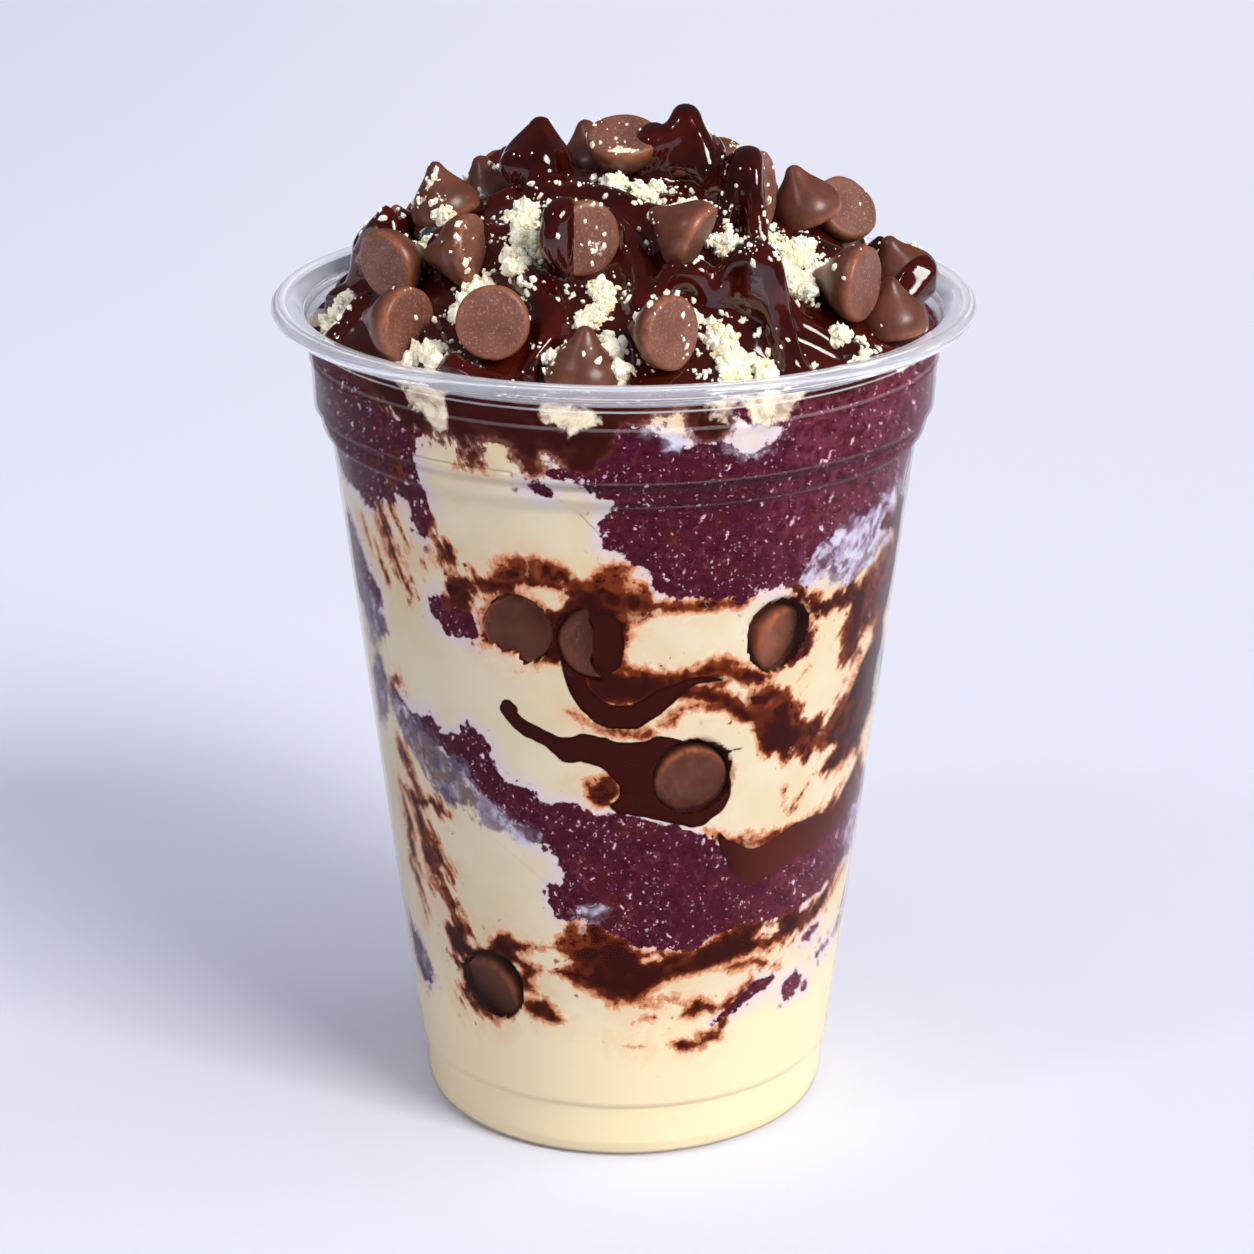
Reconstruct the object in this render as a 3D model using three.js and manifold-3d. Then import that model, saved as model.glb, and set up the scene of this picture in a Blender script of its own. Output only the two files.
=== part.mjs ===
// An acai cup: a clear plastic cup filled with layers of cream and acai, and heaped
// with chocolate chips, chocolate sauce and milk powder.
// Millimetres, +Z up, the front of the cup towards -Y, the origin under the middle of the foot.

import * as THREE from 'three';
import { mergeVertices } from 'three/addons/utils/BufferGeometryUtils.js';
import Module from 'manifold-3d';

const wasm = await Module();
wasm.setup();

// ---------------------------------------------------------------- driving dimensions

const CUP_HEIGHT = 120;        // table to the top of the rim
const RIM_RADIUS = 49;         // outside of the rolled rim
const MOUTH_RADIUS = 45.2;     // inside of the rim
const FOOT_RADIUS = 26.6;      // outer edge of the flat ring that the cup stands on
const FOOT_RECESS = 1.2;       // how far the middle of the underside stands off the table
const FOOT_RING_WIDTH = 2.4;
const BASE_RADIUS = 29.7;      // the straight band above the foot
const LEDGE_HEIGHT = 9;        // small ledge where the tapered wall starts
const WALL_LOW_RADIUS = 30.3;  // the tapered wall, outside, at the ledge
const WALL_TOP_RADIUS = 41.2;  // and at the stacking step
const STEP_HEIGHT = 101;       // stacking step under the brim band
const BAND_LOW_RADIUS = 43.5;
const BAND_TOP_RADIUS = 44;
const BAND_TOP_HEIGHT = 116;
const WALL = 0.5;              // wall thickness
const CUP_SIDES = 36;

const GAP = 0.3;               // clearance between pieces that touch
const HEAP_HEIGHT = 138.5;     // top of the mound under the chips
const HEAP_EDGE_HEIGHT = 117;
const HEAP_EDGE_RADIUS = 42.6;
const HEAP_RINGS = 5;

const CHIP_RADIUS = 5.1;
const CHIP_HEIGHT = 8;
const CHIP_SIDES = 9;
const SEAT_SIDES = 6;
const CHIP_SMALLEST = 0.95;    // chips differ a little in size
const CHIP_SPREAD = 0.08;

// Heights where one layer meets the next at the wall: [degrees round from the front, height].
// Right of the front is positive.
const CREAM_BASE_TOP = [
  [-150, 40], [-115, 46], [-80, 55], [-45, 54], [-24, 50], [-15, 40], [0, 35],
  [25, 34], [50, 36], [75, 42], [105, 48], [140, 42], [180, 36],
];
const ACAI_LOWER_TOP = [
  [-150, 58], [-115, 62], [-80, 66], [-45, 65], [-24, 59], [-15, 57], [0, 56],
  [25, 48], [50, 46], [75, 50], [105, 60], [140, 66], [180, 60],
];
const CREAM_MIDDLE_TOP = [
  [-150, 90], [-115, 96], [-80, 104], [-45, 106.5], [-15, 106.5], [-5, 98], [5, 90],
  [30, 88.5], [50, 94], [75, 96], [105, 90], [140, 98], [180, 94],
];
const ACAI_UPPER_TOP = [
  [-150, 112], [-115, 110], [-80, 112], [-45, 110.5], [-15, 110], [0, 110.5], [8, 112.5],
  [30, 112], [50, 113.5], [75, 114], [105, 111], [140, 113], [180, 111],
];
const LAYER_MIDDLE_FADE = 40;  // radius at which an interface has its full slant
const PAST_THE_CUP = 60;       // radius that is wider than anything

// Chips on the heap: [degrees round, mm from the axis, lift of the chip's middle above the mound,
// degrees that its tip leans from upright, direction in which the tip leans (degrees round)].
const HEAP_CHIPS = [
  // round the crown
  [-87, 11.8, 2.8, 6, 60],
  [-148, 8.6, 0.0, 12, 240],
  [0, 1.7, 2.0, 158, 180],
  [84, 9.0, 2.9, 10, 300],
  // left side
  [-82, 25.2, 3.2, 18, 265],
  [-107, 19.8, -1.2, 12, 270],
  [-86, 32.4, 1.4, 125, 80],
  [-49, 29.0, 1.8, 100, 250],
  [-64, 34.0, 3.2, 82, 135],
  [-49, 40.0, 3.0, 92, 232],
  // front
  [-26.5, 37.6, 3.0, 97, 172],
  [-7.5, 38.6, -0.9, 5, 90],
  [7.0, 38.0, 3.0, 95, 226],
  [-14, 24.9, 2.6, 92, 208],
  [18, 25.0, 3.2, 65, 250],
  [32, 32.4, 2.6, 108, 275],
  // right side
  [60, 19.4, 2.6, 95, 252],
  [82, 24.8, 2.6, 18, 290],
  [100, 30.4, 2.2, 128, 220],
  [56, 36.2, 3.6, 88, 240],
  [66.5, 39.3, 0.9, 8, 300],
  [90, 38.2, 1.8, 26, 300],
  // the far side
  [168, 13.0, -0.6, 84, 150],
  [-138, 22.0, -2.4, 30, 200],
  [126, 22.0, -1.2, 78, 40],
  [148, 26.0, 1.2, 95, 10],
  [-176, 25.0, 1.0, 12, 180],
  [-146, 30.5, 1.6, 92, 60],
  [-122, 29.5, 0.0, 60, 200],
  [116, 31.5, 0.0, 70, 330],
  [131, 38.0, 1.8, 18, 130],
  [155, 37.0, 2.6, 96, 350],
  [178, 38.0, 2.0, 74, 90],
  [-160, 39.0, 2.2, 14, 200],
  [-137, 39.5, 2.4, 96, 30],
  [-118, 38.8, 1.6, 72, 200],
];

// Chips that press against the wall: [degrees round, height, degrees that the flat base turns
// away from the wall to the right, degrees that it turns down].
const WALL_CHIPS = [
  [-22.5, 83, 6, 6], [-5.5, 81.5, -10, 0], [34, 80, 22, 14], [15, 61, 4, 16], [-38, 25.6, -8, 20],
  [84, 66, -8, 0], [118, 82, 14, -10], [150, 58, -6, 12], [-160, 84, 10, 6], [-118, 72, -14, -8],
];
const WALL_CHIP_INSET = 0.55;  // its flat base lies this far inside the contents' surface
const WALL_SEAT_MOUTH = 3;     // its seat opens this far past the base, out through the surface

// Thick drizzle over the heap: each strand runs through [degrees round, mm from the axis].
const SAUCE_STRANDS = [
  { width: 5.0, run: [[60, 7], [10, 12], [-15, 18], [-22, 25], [-30, 31], [-14, 36], [-12, 41]] },
  { width: 5.6, run: [[40, 5], [14, 14], [8, 21], [7, 28], [12, 32], [24, 31], [36, 37], [40, 41]] },
  { width: 4.4, run: [[95, 6], [72, 16], [62, 24], [48, 29], [44, 36], [48, 41]] },
  { width: 4.4, run: [[80, 17], [84, 27], [74, 34], [72, 40.5]] },
  { width: 5.0, run: [[-20, 6], [-70, 17], [-62, 24], [-56, 29], [-72, 32], [-68, 40.5]] },
  { width: 4.2, run: [[-110, 8], [-92, 22], [-84, 33], [-82, 40.5]] },
  { width: 5.0, run: [[150, 6], [158, 16], [166, 27], [164, 35], [166, 41]] },
  { width: 4.6, run: [[-160, 7], [-150, 20], [-152, 32], [-148, 41]] },
];
const STRAND_SIDES = 5;
const STRAND_STEPS = 8;
const STRAND_RISE = 0.05;      // a strand's middle lies this share of its width above the mound

// Lumps of milk powder: [degrees round, mm from the axis, radius].
const POWDER_LUMPS = [
  [-38, 17.5, 3.4], [-30, 23.5, 3.0], [-44, 27, 2.4], [2, 9.5, 3.8], [24, 15.5, 2.6], [46, 25.5, 3.0],
  [63, 27.5, 4.2], [56, 30.5, 3.2], [-14, 31, 3.2], [-4, 33, 3.2], [-35, 33.5, 3.0], [19, 40, 2.4],
  [20.5, 36.8, 3.8], [45, 40.0, 3.0], [-36, 40.4, 2.4], [-90, 24.5, 3.0], [-76, 41.0, 2.0],
  [112, 22, 3.2], [140, 31, 3.2], [178, 18, 3.2], [-122, 21, 3.2], [-166, 33, 3.2], [-103, 37, 2.6],
];
const LUMP_SINK = 0.25;        // share of its radius that a lump's middle lies below the surface

const COLOURS = {
  cup: { color: 0xe9ecf6, roughness: 0.06, metalness: 0, transparent: true, opacity: 0.35 },
  cream: { color: 0xe9d8ab, roughness: 0.5, metalness: 0 },
  acai: { color: 0x4b1a2d, roughness: 0.45, metalness: 0 },
  chip: { color: 0x6d4135, roughness: 0.45, metalness: 0 },
  topping: { color: 0x3a1208, roughness: 0.25, metalness: 0 },
};

// ---------------------------------------------------------------- helpers

const RIGHT_ANGLE = Math.PI / 2;
const radians = (degrees) => THREE.MathUtils.degToRad(degrees);

// A small seeded generator: the same draws every run.
function seeded(seed) {
  let state = seed;
  return () => {
    state = (Math.imul(state, 1664525) + 1013904223) >>> 0;
    return state / 4294967296;
  };
}

// A direction in plan: 0 is the front (-Y), +90 the right (+X).
function heading(degrees) {
  return new THREE.Vector3(Math.sin(radians(degrees)), -Math.cos(radians(degrees)), 0);
}

// A body of revolution about Z from a closed [radius, height] outline.
function revolve(outline, sides) {
  const points = outline.map(([radius, height]) => new THREE.Vector2(radius, height));
  return new THREE.LatheGeometry(points, sides).rotateX(RIGHT_ANGLE);
}

function bare(geometry) {
  const copy = geometry.clone();
  copy.deleteAttribute('normal');
  copy.deleteAttribute('uv');
  return mergeVertices(copy, 1e-4);
}

// three.js geometry to a solid; an inside-out one is turned the right way.
function toSolid(geometry) {
  const merged = bare(geometry);
  const place = merged.attributes.position;
  const triangles = Uint32Array.from(merged.index.array);
  const [a, b, c] = [new THREE.Vector3(), new THREE.Vector3(), new THREE.Vector3()];
  const kept = [];
  let volume = 0;
  for (let i = 0; i < triangles.length; i += 3) {
    const corner = triangles.slice(i, i + 3);
    if (new Set(corner).size < 3) continue;
    a.fromBufferAttribute(place, corner[0]);
    b.fromBufferAttribute(place, corner[1]);
    c.fromBufferAttribute(place, corner[2]);
    volume += a.dot(b.cross(c));
    kept.push(...corner);
  }
  if (volume < 0) kept.reverse();
  return new wasm.Manifold(new wasm.Mesh({
    numProp: 3,
    vertProperties: Float32Array.from(place.array),
    triVerts: Uint32Array.from(kept),
  }));
}

function toGeometry(solid) {
  const mesh = solid.getMesh();
  const geometry = new THREE.BufferGeometry();
  geometry.setAttribute('position', new THREE.BufferAttribute(mesh.vertProperties, mesh.numProp));
  geometry.setIndex(new THREE.BufferAttribute(mesh.triVerts, 1));
  return geometry;
}

// The largest body of a solid, without the scraps that cutting can leave.
function mainBody(solid) {
  const bodies = solid.decompose();
  return bodies.reduce((most, body) => (body.volume() > most.volume() ? body : most));
}

const joined = (solids) => solids.reduce((all, solid) => all.add(solid));

// Smooth closed curve through [degrees, value] points.
function around(points) {
  return (degrees) => {
    const first = points[0][0];
    const turn = first + THREE.MathUtils.euclideanModulo(degrees - first, 360);
    const next = points.findIndex(([at]) => at > turn);
    const [endAt, endValue] = next < 0 ? [first + 360, points[0][1]] : points[next];
    const [startAt, startValue] = points[next < 0 ? points.length - 1 : next - 1];
    const part = THREE.MathUtils.smoothstep(turn, startAt, endAt);
    return THREE.MathUtils.lerp(startValue, endValue, part);
  };
}

// ---------------------------------------------------------------- the cup

// Outside of the wall from the foot up to the rim, as [radius, height].
const CUP_OUTSIDE = [
  [FOOT_RADIUS, 0],
  [FOOT_RADIUS + 2, 0.8],
  [BASE_RADIUS - 0.2, 2.6],
  [BASE_RADIUS, LEDGE_HEIGHT - 0.6],
  [WALL_LOW_RADIUS, LEDGE_HEIGHT],
  [WALL_TOP_RADIUS, STEP_HEIGHT],
  [WALL_TOP_RADIUS + 1.2, STEP_HEIGHT + 1.2],
  [WALL_TOP_RADIUS + 1.5, STEP_HEIGHT + 3.4],
  [BAND_LOW_RADIUS, STEP_HEIGHT + 4.4],
  [BAND_TOP_RADIUS, BAND_TOP_HEIGHT],
];

function cupOutline() {
  const outside = [
    [0, FOOT_RECESS],
    [FOOT_RADIUS - FOOT_RING_WIDTH - 0.8, FOOT_RECESS],
    [FOOT_RADIUS - FOOT_RING_WIDTH, 0],
    ...CUP_OUTSIDE,
  ];
  const rim = [
    [BAND_TOP_RADIUS + 0.7, CUP_HEIGHT - 2.7],
    [RIM_RADIUS - 1.4, CUP_HEIGHT - 2.3],
    [RIM_RADIUS - 0.3, CUP_HEIGHT - 1.9],
    [RIM_RADIUS, CUP_HEIGHT - 1.1],
    [RIM_RADIUS - 0.5, CUP_HEIGHT - 0.2],
    [RIM_RADIUS - 1.3, CUP_HEIGHT],
    [MOUTH_RADIUS, CUP_HEIGHT - 0.7],
    [BAND_TOP_RADIUS + 0.1, CUP_HEIGHT - 2.4],
  ];
  const inside = CUP_OUTSIDE.slice(2).reverse().map(([radius, height]) => [radius - WALL, height]);
  const floor = [
    [FOOT_RADIUS + 1.6, FOOT_RECESS + WALL],
    [0, FOOT_RECESS + WALL],
  ];
  const start = [outside[0]];
  return [...outside, ...rim, ...inside, ...floor, ...start];
}

// ---------------------------------------------------------------- the contents

// Height of the mound's surface at a distance from the axis.
function moundHeight(reach) {
  const share = Math.min(reach / HEAP_EDGE_RADIUS, 1);
  return THREE.MathUtils.lerp(HEAP_HEIGHT, HEAP_EDGE_HEIGHT, share * share);
}

// All that fills the cup, as one body: the inside of the wall less the gap, and the mound.
function contentsBlank() {
  const inset = WALL + GAP;
  const side = CUP_OUTSIDE.slice(2).map(([radius, height]) => [radius - inset, height]);
  const mound = [];
  for (let i = 0; i <= HEAP_RINGS; i += 1) {
    const reach = HEAP_EDGE_RADIUS * (1 - i / HEAP_RINGS);
    mound.push([reach, moundHeight(reach)]);
  }
  const floorHeight = FOOT_RECESS + WALL + GAP;
  const outline = [[0, floorHeight], [FOOT_RADIUS + 1, floorHeight], ...side, ...mound];
  return toSolid(revolve(outline, CUP_SIDES));
}

// A slab with wavy faces between two interfaces, wider than the cup.
function slab(lowEdge, highEdge) {
  const reaches = [0, LAYER_MIDDLE_FADE, PAST_THE_CUP];
  const surface = (edge, shift) => {
    const heights = [];
    for (let i = 0; i < CUP_SIDES; i += 1) heights.push(edge((i * 360) / CUP_SIDES));
    const middle = heights.reduce((sum, height) => sum + height, 0) / CUP_SIDES;
    return reaches.map((reach) => heights.map((height, i) => {
      const share = Math.min(reach / LAYER_MIDDLE_FADE, 1);
      const at = heading((i * 360) / CUP_SIDES).multiplyScalar(reach);
      return at.setZ(THREE.MathUtils.lerp(middle, height, share) + shift);
    }));
  };
  const rows = [...surface(lowEdge, GAP / 2), ...surface(highEdge, -GAP / 2).reverse()];
  const positions = rows.flat().flatMap((point) => point.toArray());
  const index = [];
  for (let row = 0; row + 1 < rows.length; row += 1) {
    for (let i = 0; i < CUP_SIDES; i += 1) {
      const a = row * CUP_SIDES + i;
      const b = row * CUP_SIDES + ((i + 1) % CUP_SIDES);
      index.push(a, b, b + CUP_SIDES, a, b + CUP_SIDES, a + CUP_SIDES);
    }
  }
  const geometry = new THREE.BufferGeometry();
  geometry.setAttribute('position', new THREE.Float32BufferAttribute(positions, 3));
  geometry.setIndex(index);
  return toSolid(geometry);
}

// ---------------------------------------------------------------- chips

// A moulded drop: flat round base at the origin, tip up.
function chipBody(size) {
  const radius = CHIP_RADIUS * size;
  const height = CHIP_HEIGHT * size;
  return revolve([
    [0, 0],
    [radius * 0.94, 0],
    [radius, height * 0.14],
    [radius * 0.9, height * 0.4],
    [radius * 0.42, height * 0.74],
    [0, height],
  ], CHIP_SIDES);
}

// The room that a chip needs: a blunter form round it, with its mouth carried out past the base.
function seatBody(size, reachDown) {
  const radius = (CHIP_RADIUS * size + GAP) / Math.cos(Math.PI / SEAT_SIDES);
  const height = CHIP_HEIGHT * size + GAP;
  return revolve([
    [0, -reachDown],
    [radius, -reachDown],
    [radius, height * 0.36],
    [radius * 0.5, height * 0.76],
    [0, height + GAP],
  ], SEAT_SIDES);
}

const CHIP_MIDDLE = CHIP_HEIGHT * 0.33;   // height of a chip's middle above its base

function chipPlace(middle, tipDirection, spin) {
  const turnUp = new THREE.Quaternion().setFromUnitVectors(new THREE.Vector3(0, 0, 1), tipDirection);
  const turnRound = new THREE.Quaternion().setFromAxisAngle(new THREE.Vector3(0, 0, 1), spin);
  const quaternion = turnUp.multiply(turnRound);
  const position = middle.clone().addScaledVector(tipDirection, -CHIP_MIDDLE);
  return { position, quaternion };
}

function heapChipPlace([turn, reach, lift, lean, leanTo], spin) {
  const middle = heading(turn).multiplyScalar(reach).setZ(moundHeight(reach) + lift);
  const tip = heading(leanTo).multiplyScalar(Math.sin(radians(lean))).setZ(Math.cos(radians(lean)));
  return chipPlace(middle, tip.normalize(), spin);
}

function contentsRadius(height) {
  const low = WALL_LOW_RADIUS - WALL - GAP;
  const high = WALL_TOP_RADIUS - WALL - GAP;
  return THREE.MathUtils.mapLinear(height, LEDGE_HEIGHT, STEP_HEIGHT, low, high);
}

function wallChipPlace([turn, height, right, down], spin) {
  const outward = heading(turn + right).multiplyScalar(Math.cos(radians(down)));
  outward.setZ(-Math.sin(radians(down)));
  const tiltRoom = CHIP_RADIUS * Math.sin(radians(Math.max(Math.abs(right), Math.abs(down))));
  const reach = contentsRadius(height) - WALL_CHIP_INSET - tiltRoom - CHIP_MIDDLE;
  const middle = heading(turn).multiplyScalar(reach).setZ(height);
  return chipPlace(middle, outward.negate(), spin);
}

function allChips() {
  const random = seeded(11);
  const chips = [];
  const add = (place, onWall) => {
    const size = CHIP_SMALLEST + CHIP_SPREAD * random();
    chips.push({ ...place(random() * Math.PI), size, onWall });
  };
  for (const entry of HEAP_CHIPS) add((spin) => heapChipPlace(entry, spin), false);
  for (const entry of WALL_CHIPS) add((spin) => wallChipPlace(entry, spin), true);
  return chips;
}

// The room that a chip takes in what it is pressed into.
function chipSeat({ position, quaternion, size, onWall }) {
  const seat = seatBody(size, onWall ? WALL_SEAT_MOUTH : GAP);
  return toSolid(seat.applyQuaternion(quaternion).translate(...position.toArray()));
}

// ---------------------------------------------------------------- drizzle and powder

function strandSolid({ width, run }) {
  const points = run.map(([turn, reach]) => {
    const height = moundHeight(reach) + width * STRAND_RISE;
    return heading(turn).multiplyScalar(reach).setZ(height);
  });
  const section = new THREE.Shape(
    new THREE.EllipseCurve(0, 0, width / 2, width / 2).getPoints(STRAND_SIDES).slice(0, -1),
  );
  return toSolid(new THREE.ExtrudeGeometry(section, {
    steps: STRAND_STEPS,
    extrudePath: new THREE.CatmullRomCurve3(points),
  }));
}

function powderLump([turn, reach, radius], random) {
  const lump = mergeVertices(bare(new THREE.IcosahedronGeometry(radius, 0)));
  const place = lump.attributes.position;
  const point = new THREE.Vector3();
  for (let i = 0; i < place.count; i += 1) {
    point.fromBufferAttribute(place, i).multiplyScalar(0.85 + 0.35 * random());
    place.setXYZ(i, point.x, point.y, point.z * 0.8);
  }
  const middle = heading(turn).multiplyScalar(reach).setZ(moundHeight(reach) - radius * LUMP_SINK);
  return toSolid(lump.rotateZ(random() * Math.PI).translate(...middle.toArray()));
}

function toppingMound(blank, seats) {
  const random = seeded(5);
  const strands = SAUCE_STRANDS.map(strandSolid);
  const lumps = POWDER_LUMPS.map((entry) => powderLump(entry, random));
  return mainBody(joined([blank, ...strands, ...lumps]).subtract(joined(seats)));
}

// ---------------------------------------------------------------- assembly

const group = new THREE.Group();
const materials = Object.fromEntries(
  Object.entries(COLOURS).map(([name, look]) => [name, new THREE.MeshStandardMaterial(look)]),
);

function addNode(name, geometry, material) {
  const mesh = new THREE.Mesh(geometry, materials[material]);
  mesh.name = name;
  group.add(mesh);
  return mesh;
}

addNode('cup', bare(revolve(cupOutline(), CUP_SIDES)), 'cup');

const chips = allChips();
const wallSeats = joined(chips.filter((chip) => chip.onWall).map(chipSeat));
const heapSeats = chips.filter((chip) => !chip.onWall).map(chipSeat);

const table = () => -10;
const sky = () => 200;
const interfaces = [
  table, around(CREAM_BASE_TOP), around(ACAI_LOWER_TOP), around(CREAM_MIDDLE_TOP),
  around(ACAI_UPPER_TOP), sky,
];
const blank = contentsBlank();
const layerBlank = (i) => blank.intersect(slab(interfaces[i], interfaces[i + 1]));

const LAYERS = [
  ['cream_base', 'cream'], ['acai_lower', 'acai'], ['cream_middle', 'cream'], ['acai_upper', 'acai'],
];
const cutters = wallSeats.add(joined(heapSeats));
LAYERS.forEach(([name, material], i) => {
  addNode(name, toGeometry(mainBody(layerBlank(i).subtract(cutters))), material);
});
addNode('topping_mound', toGeometry(toppingMound(layerBlank(LAYERS.length), heapSeats)), 'topping');

chips.forEach(({ position, quaternion, size }, i) => {
  const mesh = addNode(`chip_${String(i + 1).padStart(2, '0')}`, bare(chipBody(size)), 'chip');
  mesh.position.copy(position);
  mesh.quaternion.copy(quaternion);
});

export default group;
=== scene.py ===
"""An acai cup: a clear plastic cup with swirled layers of cream and acai, heaped with
chocolate chips, thick sauce and milk powder. Lengths are in millimetres unless a name says
otherwise, and become metres where a mesh is made. Turns are degrees round the cup from its
front, positive to the right."""
import math

import bmesh
import bpy
import numpy as np
from mathutils import Matrix, Vector


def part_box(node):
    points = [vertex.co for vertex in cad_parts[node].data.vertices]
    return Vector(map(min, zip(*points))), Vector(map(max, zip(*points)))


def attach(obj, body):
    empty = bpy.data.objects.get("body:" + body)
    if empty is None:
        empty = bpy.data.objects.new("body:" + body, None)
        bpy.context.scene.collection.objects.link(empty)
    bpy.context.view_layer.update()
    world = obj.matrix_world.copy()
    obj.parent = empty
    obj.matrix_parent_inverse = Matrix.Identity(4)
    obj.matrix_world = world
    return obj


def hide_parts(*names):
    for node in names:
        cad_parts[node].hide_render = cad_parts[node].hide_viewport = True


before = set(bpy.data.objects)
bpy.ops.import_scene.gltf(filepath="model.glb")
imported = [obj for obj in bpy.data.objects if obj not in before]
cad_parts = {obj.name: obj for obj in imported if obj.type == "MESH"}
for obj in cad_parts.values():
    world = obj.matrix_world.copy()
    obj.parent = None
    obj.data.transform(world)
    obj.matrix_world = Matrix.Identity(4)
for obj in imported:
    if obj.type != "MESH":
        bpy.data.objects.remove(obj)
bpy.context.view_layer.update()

MM = 0.001

# ------------------------------------------------------------------ sizes

CUP_LOW, CUP_HIGH = [np.array(corner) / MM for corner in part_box("cup")]
RIM_RADIUS = CUP_HIGH[0]
CUP_HEIGHT = CUP_HIGH[2]
WALL = 0.5
# The outside of the cup, (radius, height), from the foot to the brim band.
CUP_SIDE = [
    (26.6, 0.0), (27.8, 0.25), (28.9, 1.0), (29.45, 2.6), (29.7, 8.3), (30.0, 8.7), (30.3, 9.1),
    (41.2, 101.0), (41.7, 101.6), (42.3, 102.2), (42.55, 103.0), (42.7, 104.4), (43.1, 105.0),
    (43.5, 105.5), (43.75, 111.7), (44.0, 112.1), (44.0, 112.6), (43.8, 113.0), (44.0, 116.0),
]
CUP_FACETS = 192
RIM_FOOT = 115.5               # where the thicker plastic of the rim starts
# Rings round the wall that catch the light or lie in shade: height, half of the width, strength
# and shade.
WALL_CREASES = [
    (115.35, 0.22, 0.3, 0.9), (112.9, 0.3, 0.1, 0.8), (105.5, 0.25, 0.06, 0.85),
    (104.5, 0.7, 0.34, 0.03), (102.6, 0.5, 0.08, 0.05), (101.8, 0.2, 0.06, 0.85), (8.75, 0.3, 0.1, 0.3),
]
# Rings round the rim painted as highlights: height, half of the width, strength and shade.
RIM_CREASES = [(CUP_HEIGHT - 0.12, 0.1, 0.5, 1.0), (CUP_HEIGHT - 1.5, 0.16, 0.55, 1.0)]

HEAP_TOP = 138.5
HEAP_EDGE = 117.0
HEAP_RADIUS = 42.6
WALL_CHIPS_BELOW = 109.0       # the height under which a chip lies at the wall, not on the heap

CHIP_RADIUS = 5.1
CHIP_HEIGHT = 8.0
# The outline of a chip, as shares of its radius and height, from the middle of its base to its tip.
CHIP_OUTLINE = [
    (0.0, 0.0), (0.50, 0.0), (0.88, 0.0), (0.96, 0.025), (1.0, 0.10), (0.99, 0.22), (0.93, 0.34),
    (0.80, 0.46), (0.63, 0.58), (0.47, 0.69), (0.34, 0.79), (0.25, 0.88), (0.17, 0.955), (0.0, 1.0),
]

# ------------------------------------------------------------------ the swirls at the wall
# Outlines and ribbons are drawn as lists of (turn, height). A ribbon's last number is its
# width.

ACAI_MASSES = [
    [(-1.5, 114), (-2, 110.5), (-9, 106.8), (-5, 104), (-1, 102.3), (-4, 98.8), (-3, 95.8),
     (1, 94), (4, 92.3), (6, 89.8), (9, 88.2), (15, 88.5), (24, 87), (31, 88.2), (36, 87.6),
     (41, 88.4), (46, 88), (52, 87.4), (58, 89.6), (68, 91.6), (78, 95), (88, 100), (96, 107),
     (96, 119), (60, 119), (20, 119), (20, 113), (28, 112), (28, 110.6), (21, 108.6), (17, 111),
     (10, 110.6), (5, 112.8)],
    [(-54, 65), (-50, 66.2), (-47, 66.8), (-44, 64.6), (-38, 65), (-36, 66.8), (-33, 66.4),
     (-30, 64.6), (-29, 62), (-26, 60), (-21, 59), (-18, 57.2), (-12, 57.6), (-8, 56.2), (0, 56),
     (8, 54.8), (16, 53), (22, 50.5), (25, 47), (30, 44.8), (40, 45), (45, 46.5), (58, 47.5),
     (70, 48), (82, 48), (92, 46), (84, 42), (74, 40), (66, 38.8), (56, 37), (46, 36.2), (36, 35.6),
     (24, 36), (16, 34), (8, 34.6), (0, 36), (-8, 38.4), (-11, 39.6), (-15, 39), (-18, 41),
     (-17, 44), (-14, 45), (-15, 48), (-18, 50), (-23, 51.6), (-28, 53), (-33, 55.4), (-37, 58.6),
     (-44, 61.6)],
    [(-84, 119), (-70, 119), (-50, 119), (-49, 112), (-43, 110.6), (-38, 109.6), (-40, 107),
     (-40, 103.4), (-40, 98), (-41.6, 93.6), (-44.4, 95.4), (-46.4, 99), (-50, 98), (-54, 97),
     (-58, 94.6), (-66, 96), (-80, 100)],
    [(-42, 85), (-37, 86.2), (-32, 84.4), (-31, 81.4), (-36, 80.4), (-41, 82)],
    [(-76, 92), (-68, 88), (-64, 85), (-60, 82), (-63, 79), (-70, 77.4), (-80, 80)],
    [(-76, 29), (-67, 26.4), (-64, 23.6), (-61, 22.4), (-64, 20.6), (-72, 21)],
    [(45, 24.4), (50, 25.4), (54, 23.8), (56, 21.2), (50, 22.2), (46, 22)],
    [(50, 31), (54, 32.2), (58, 31.8), (55, 30)],
    [(-18, 104.2), (-14.5, 103.2), (-12.5, 104.2), (-16, 105.6)],
    [(-13, 106.4), (-9, 105.6), (-8, 107), (-12, 107.4)],
]
ACAI_RIBBONS = [
    [(25, 22.3), (30, 23.8), (36, 25.6), (41, 26.2), 2.2], [(60, 26), (66, 27), 1.2],
    [(70, 27), (78, 28.6), 1.8], [(-56, 66), (-60, 68), 1.2], [(76, 30), (84, 33), 2.4],
]
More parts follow.
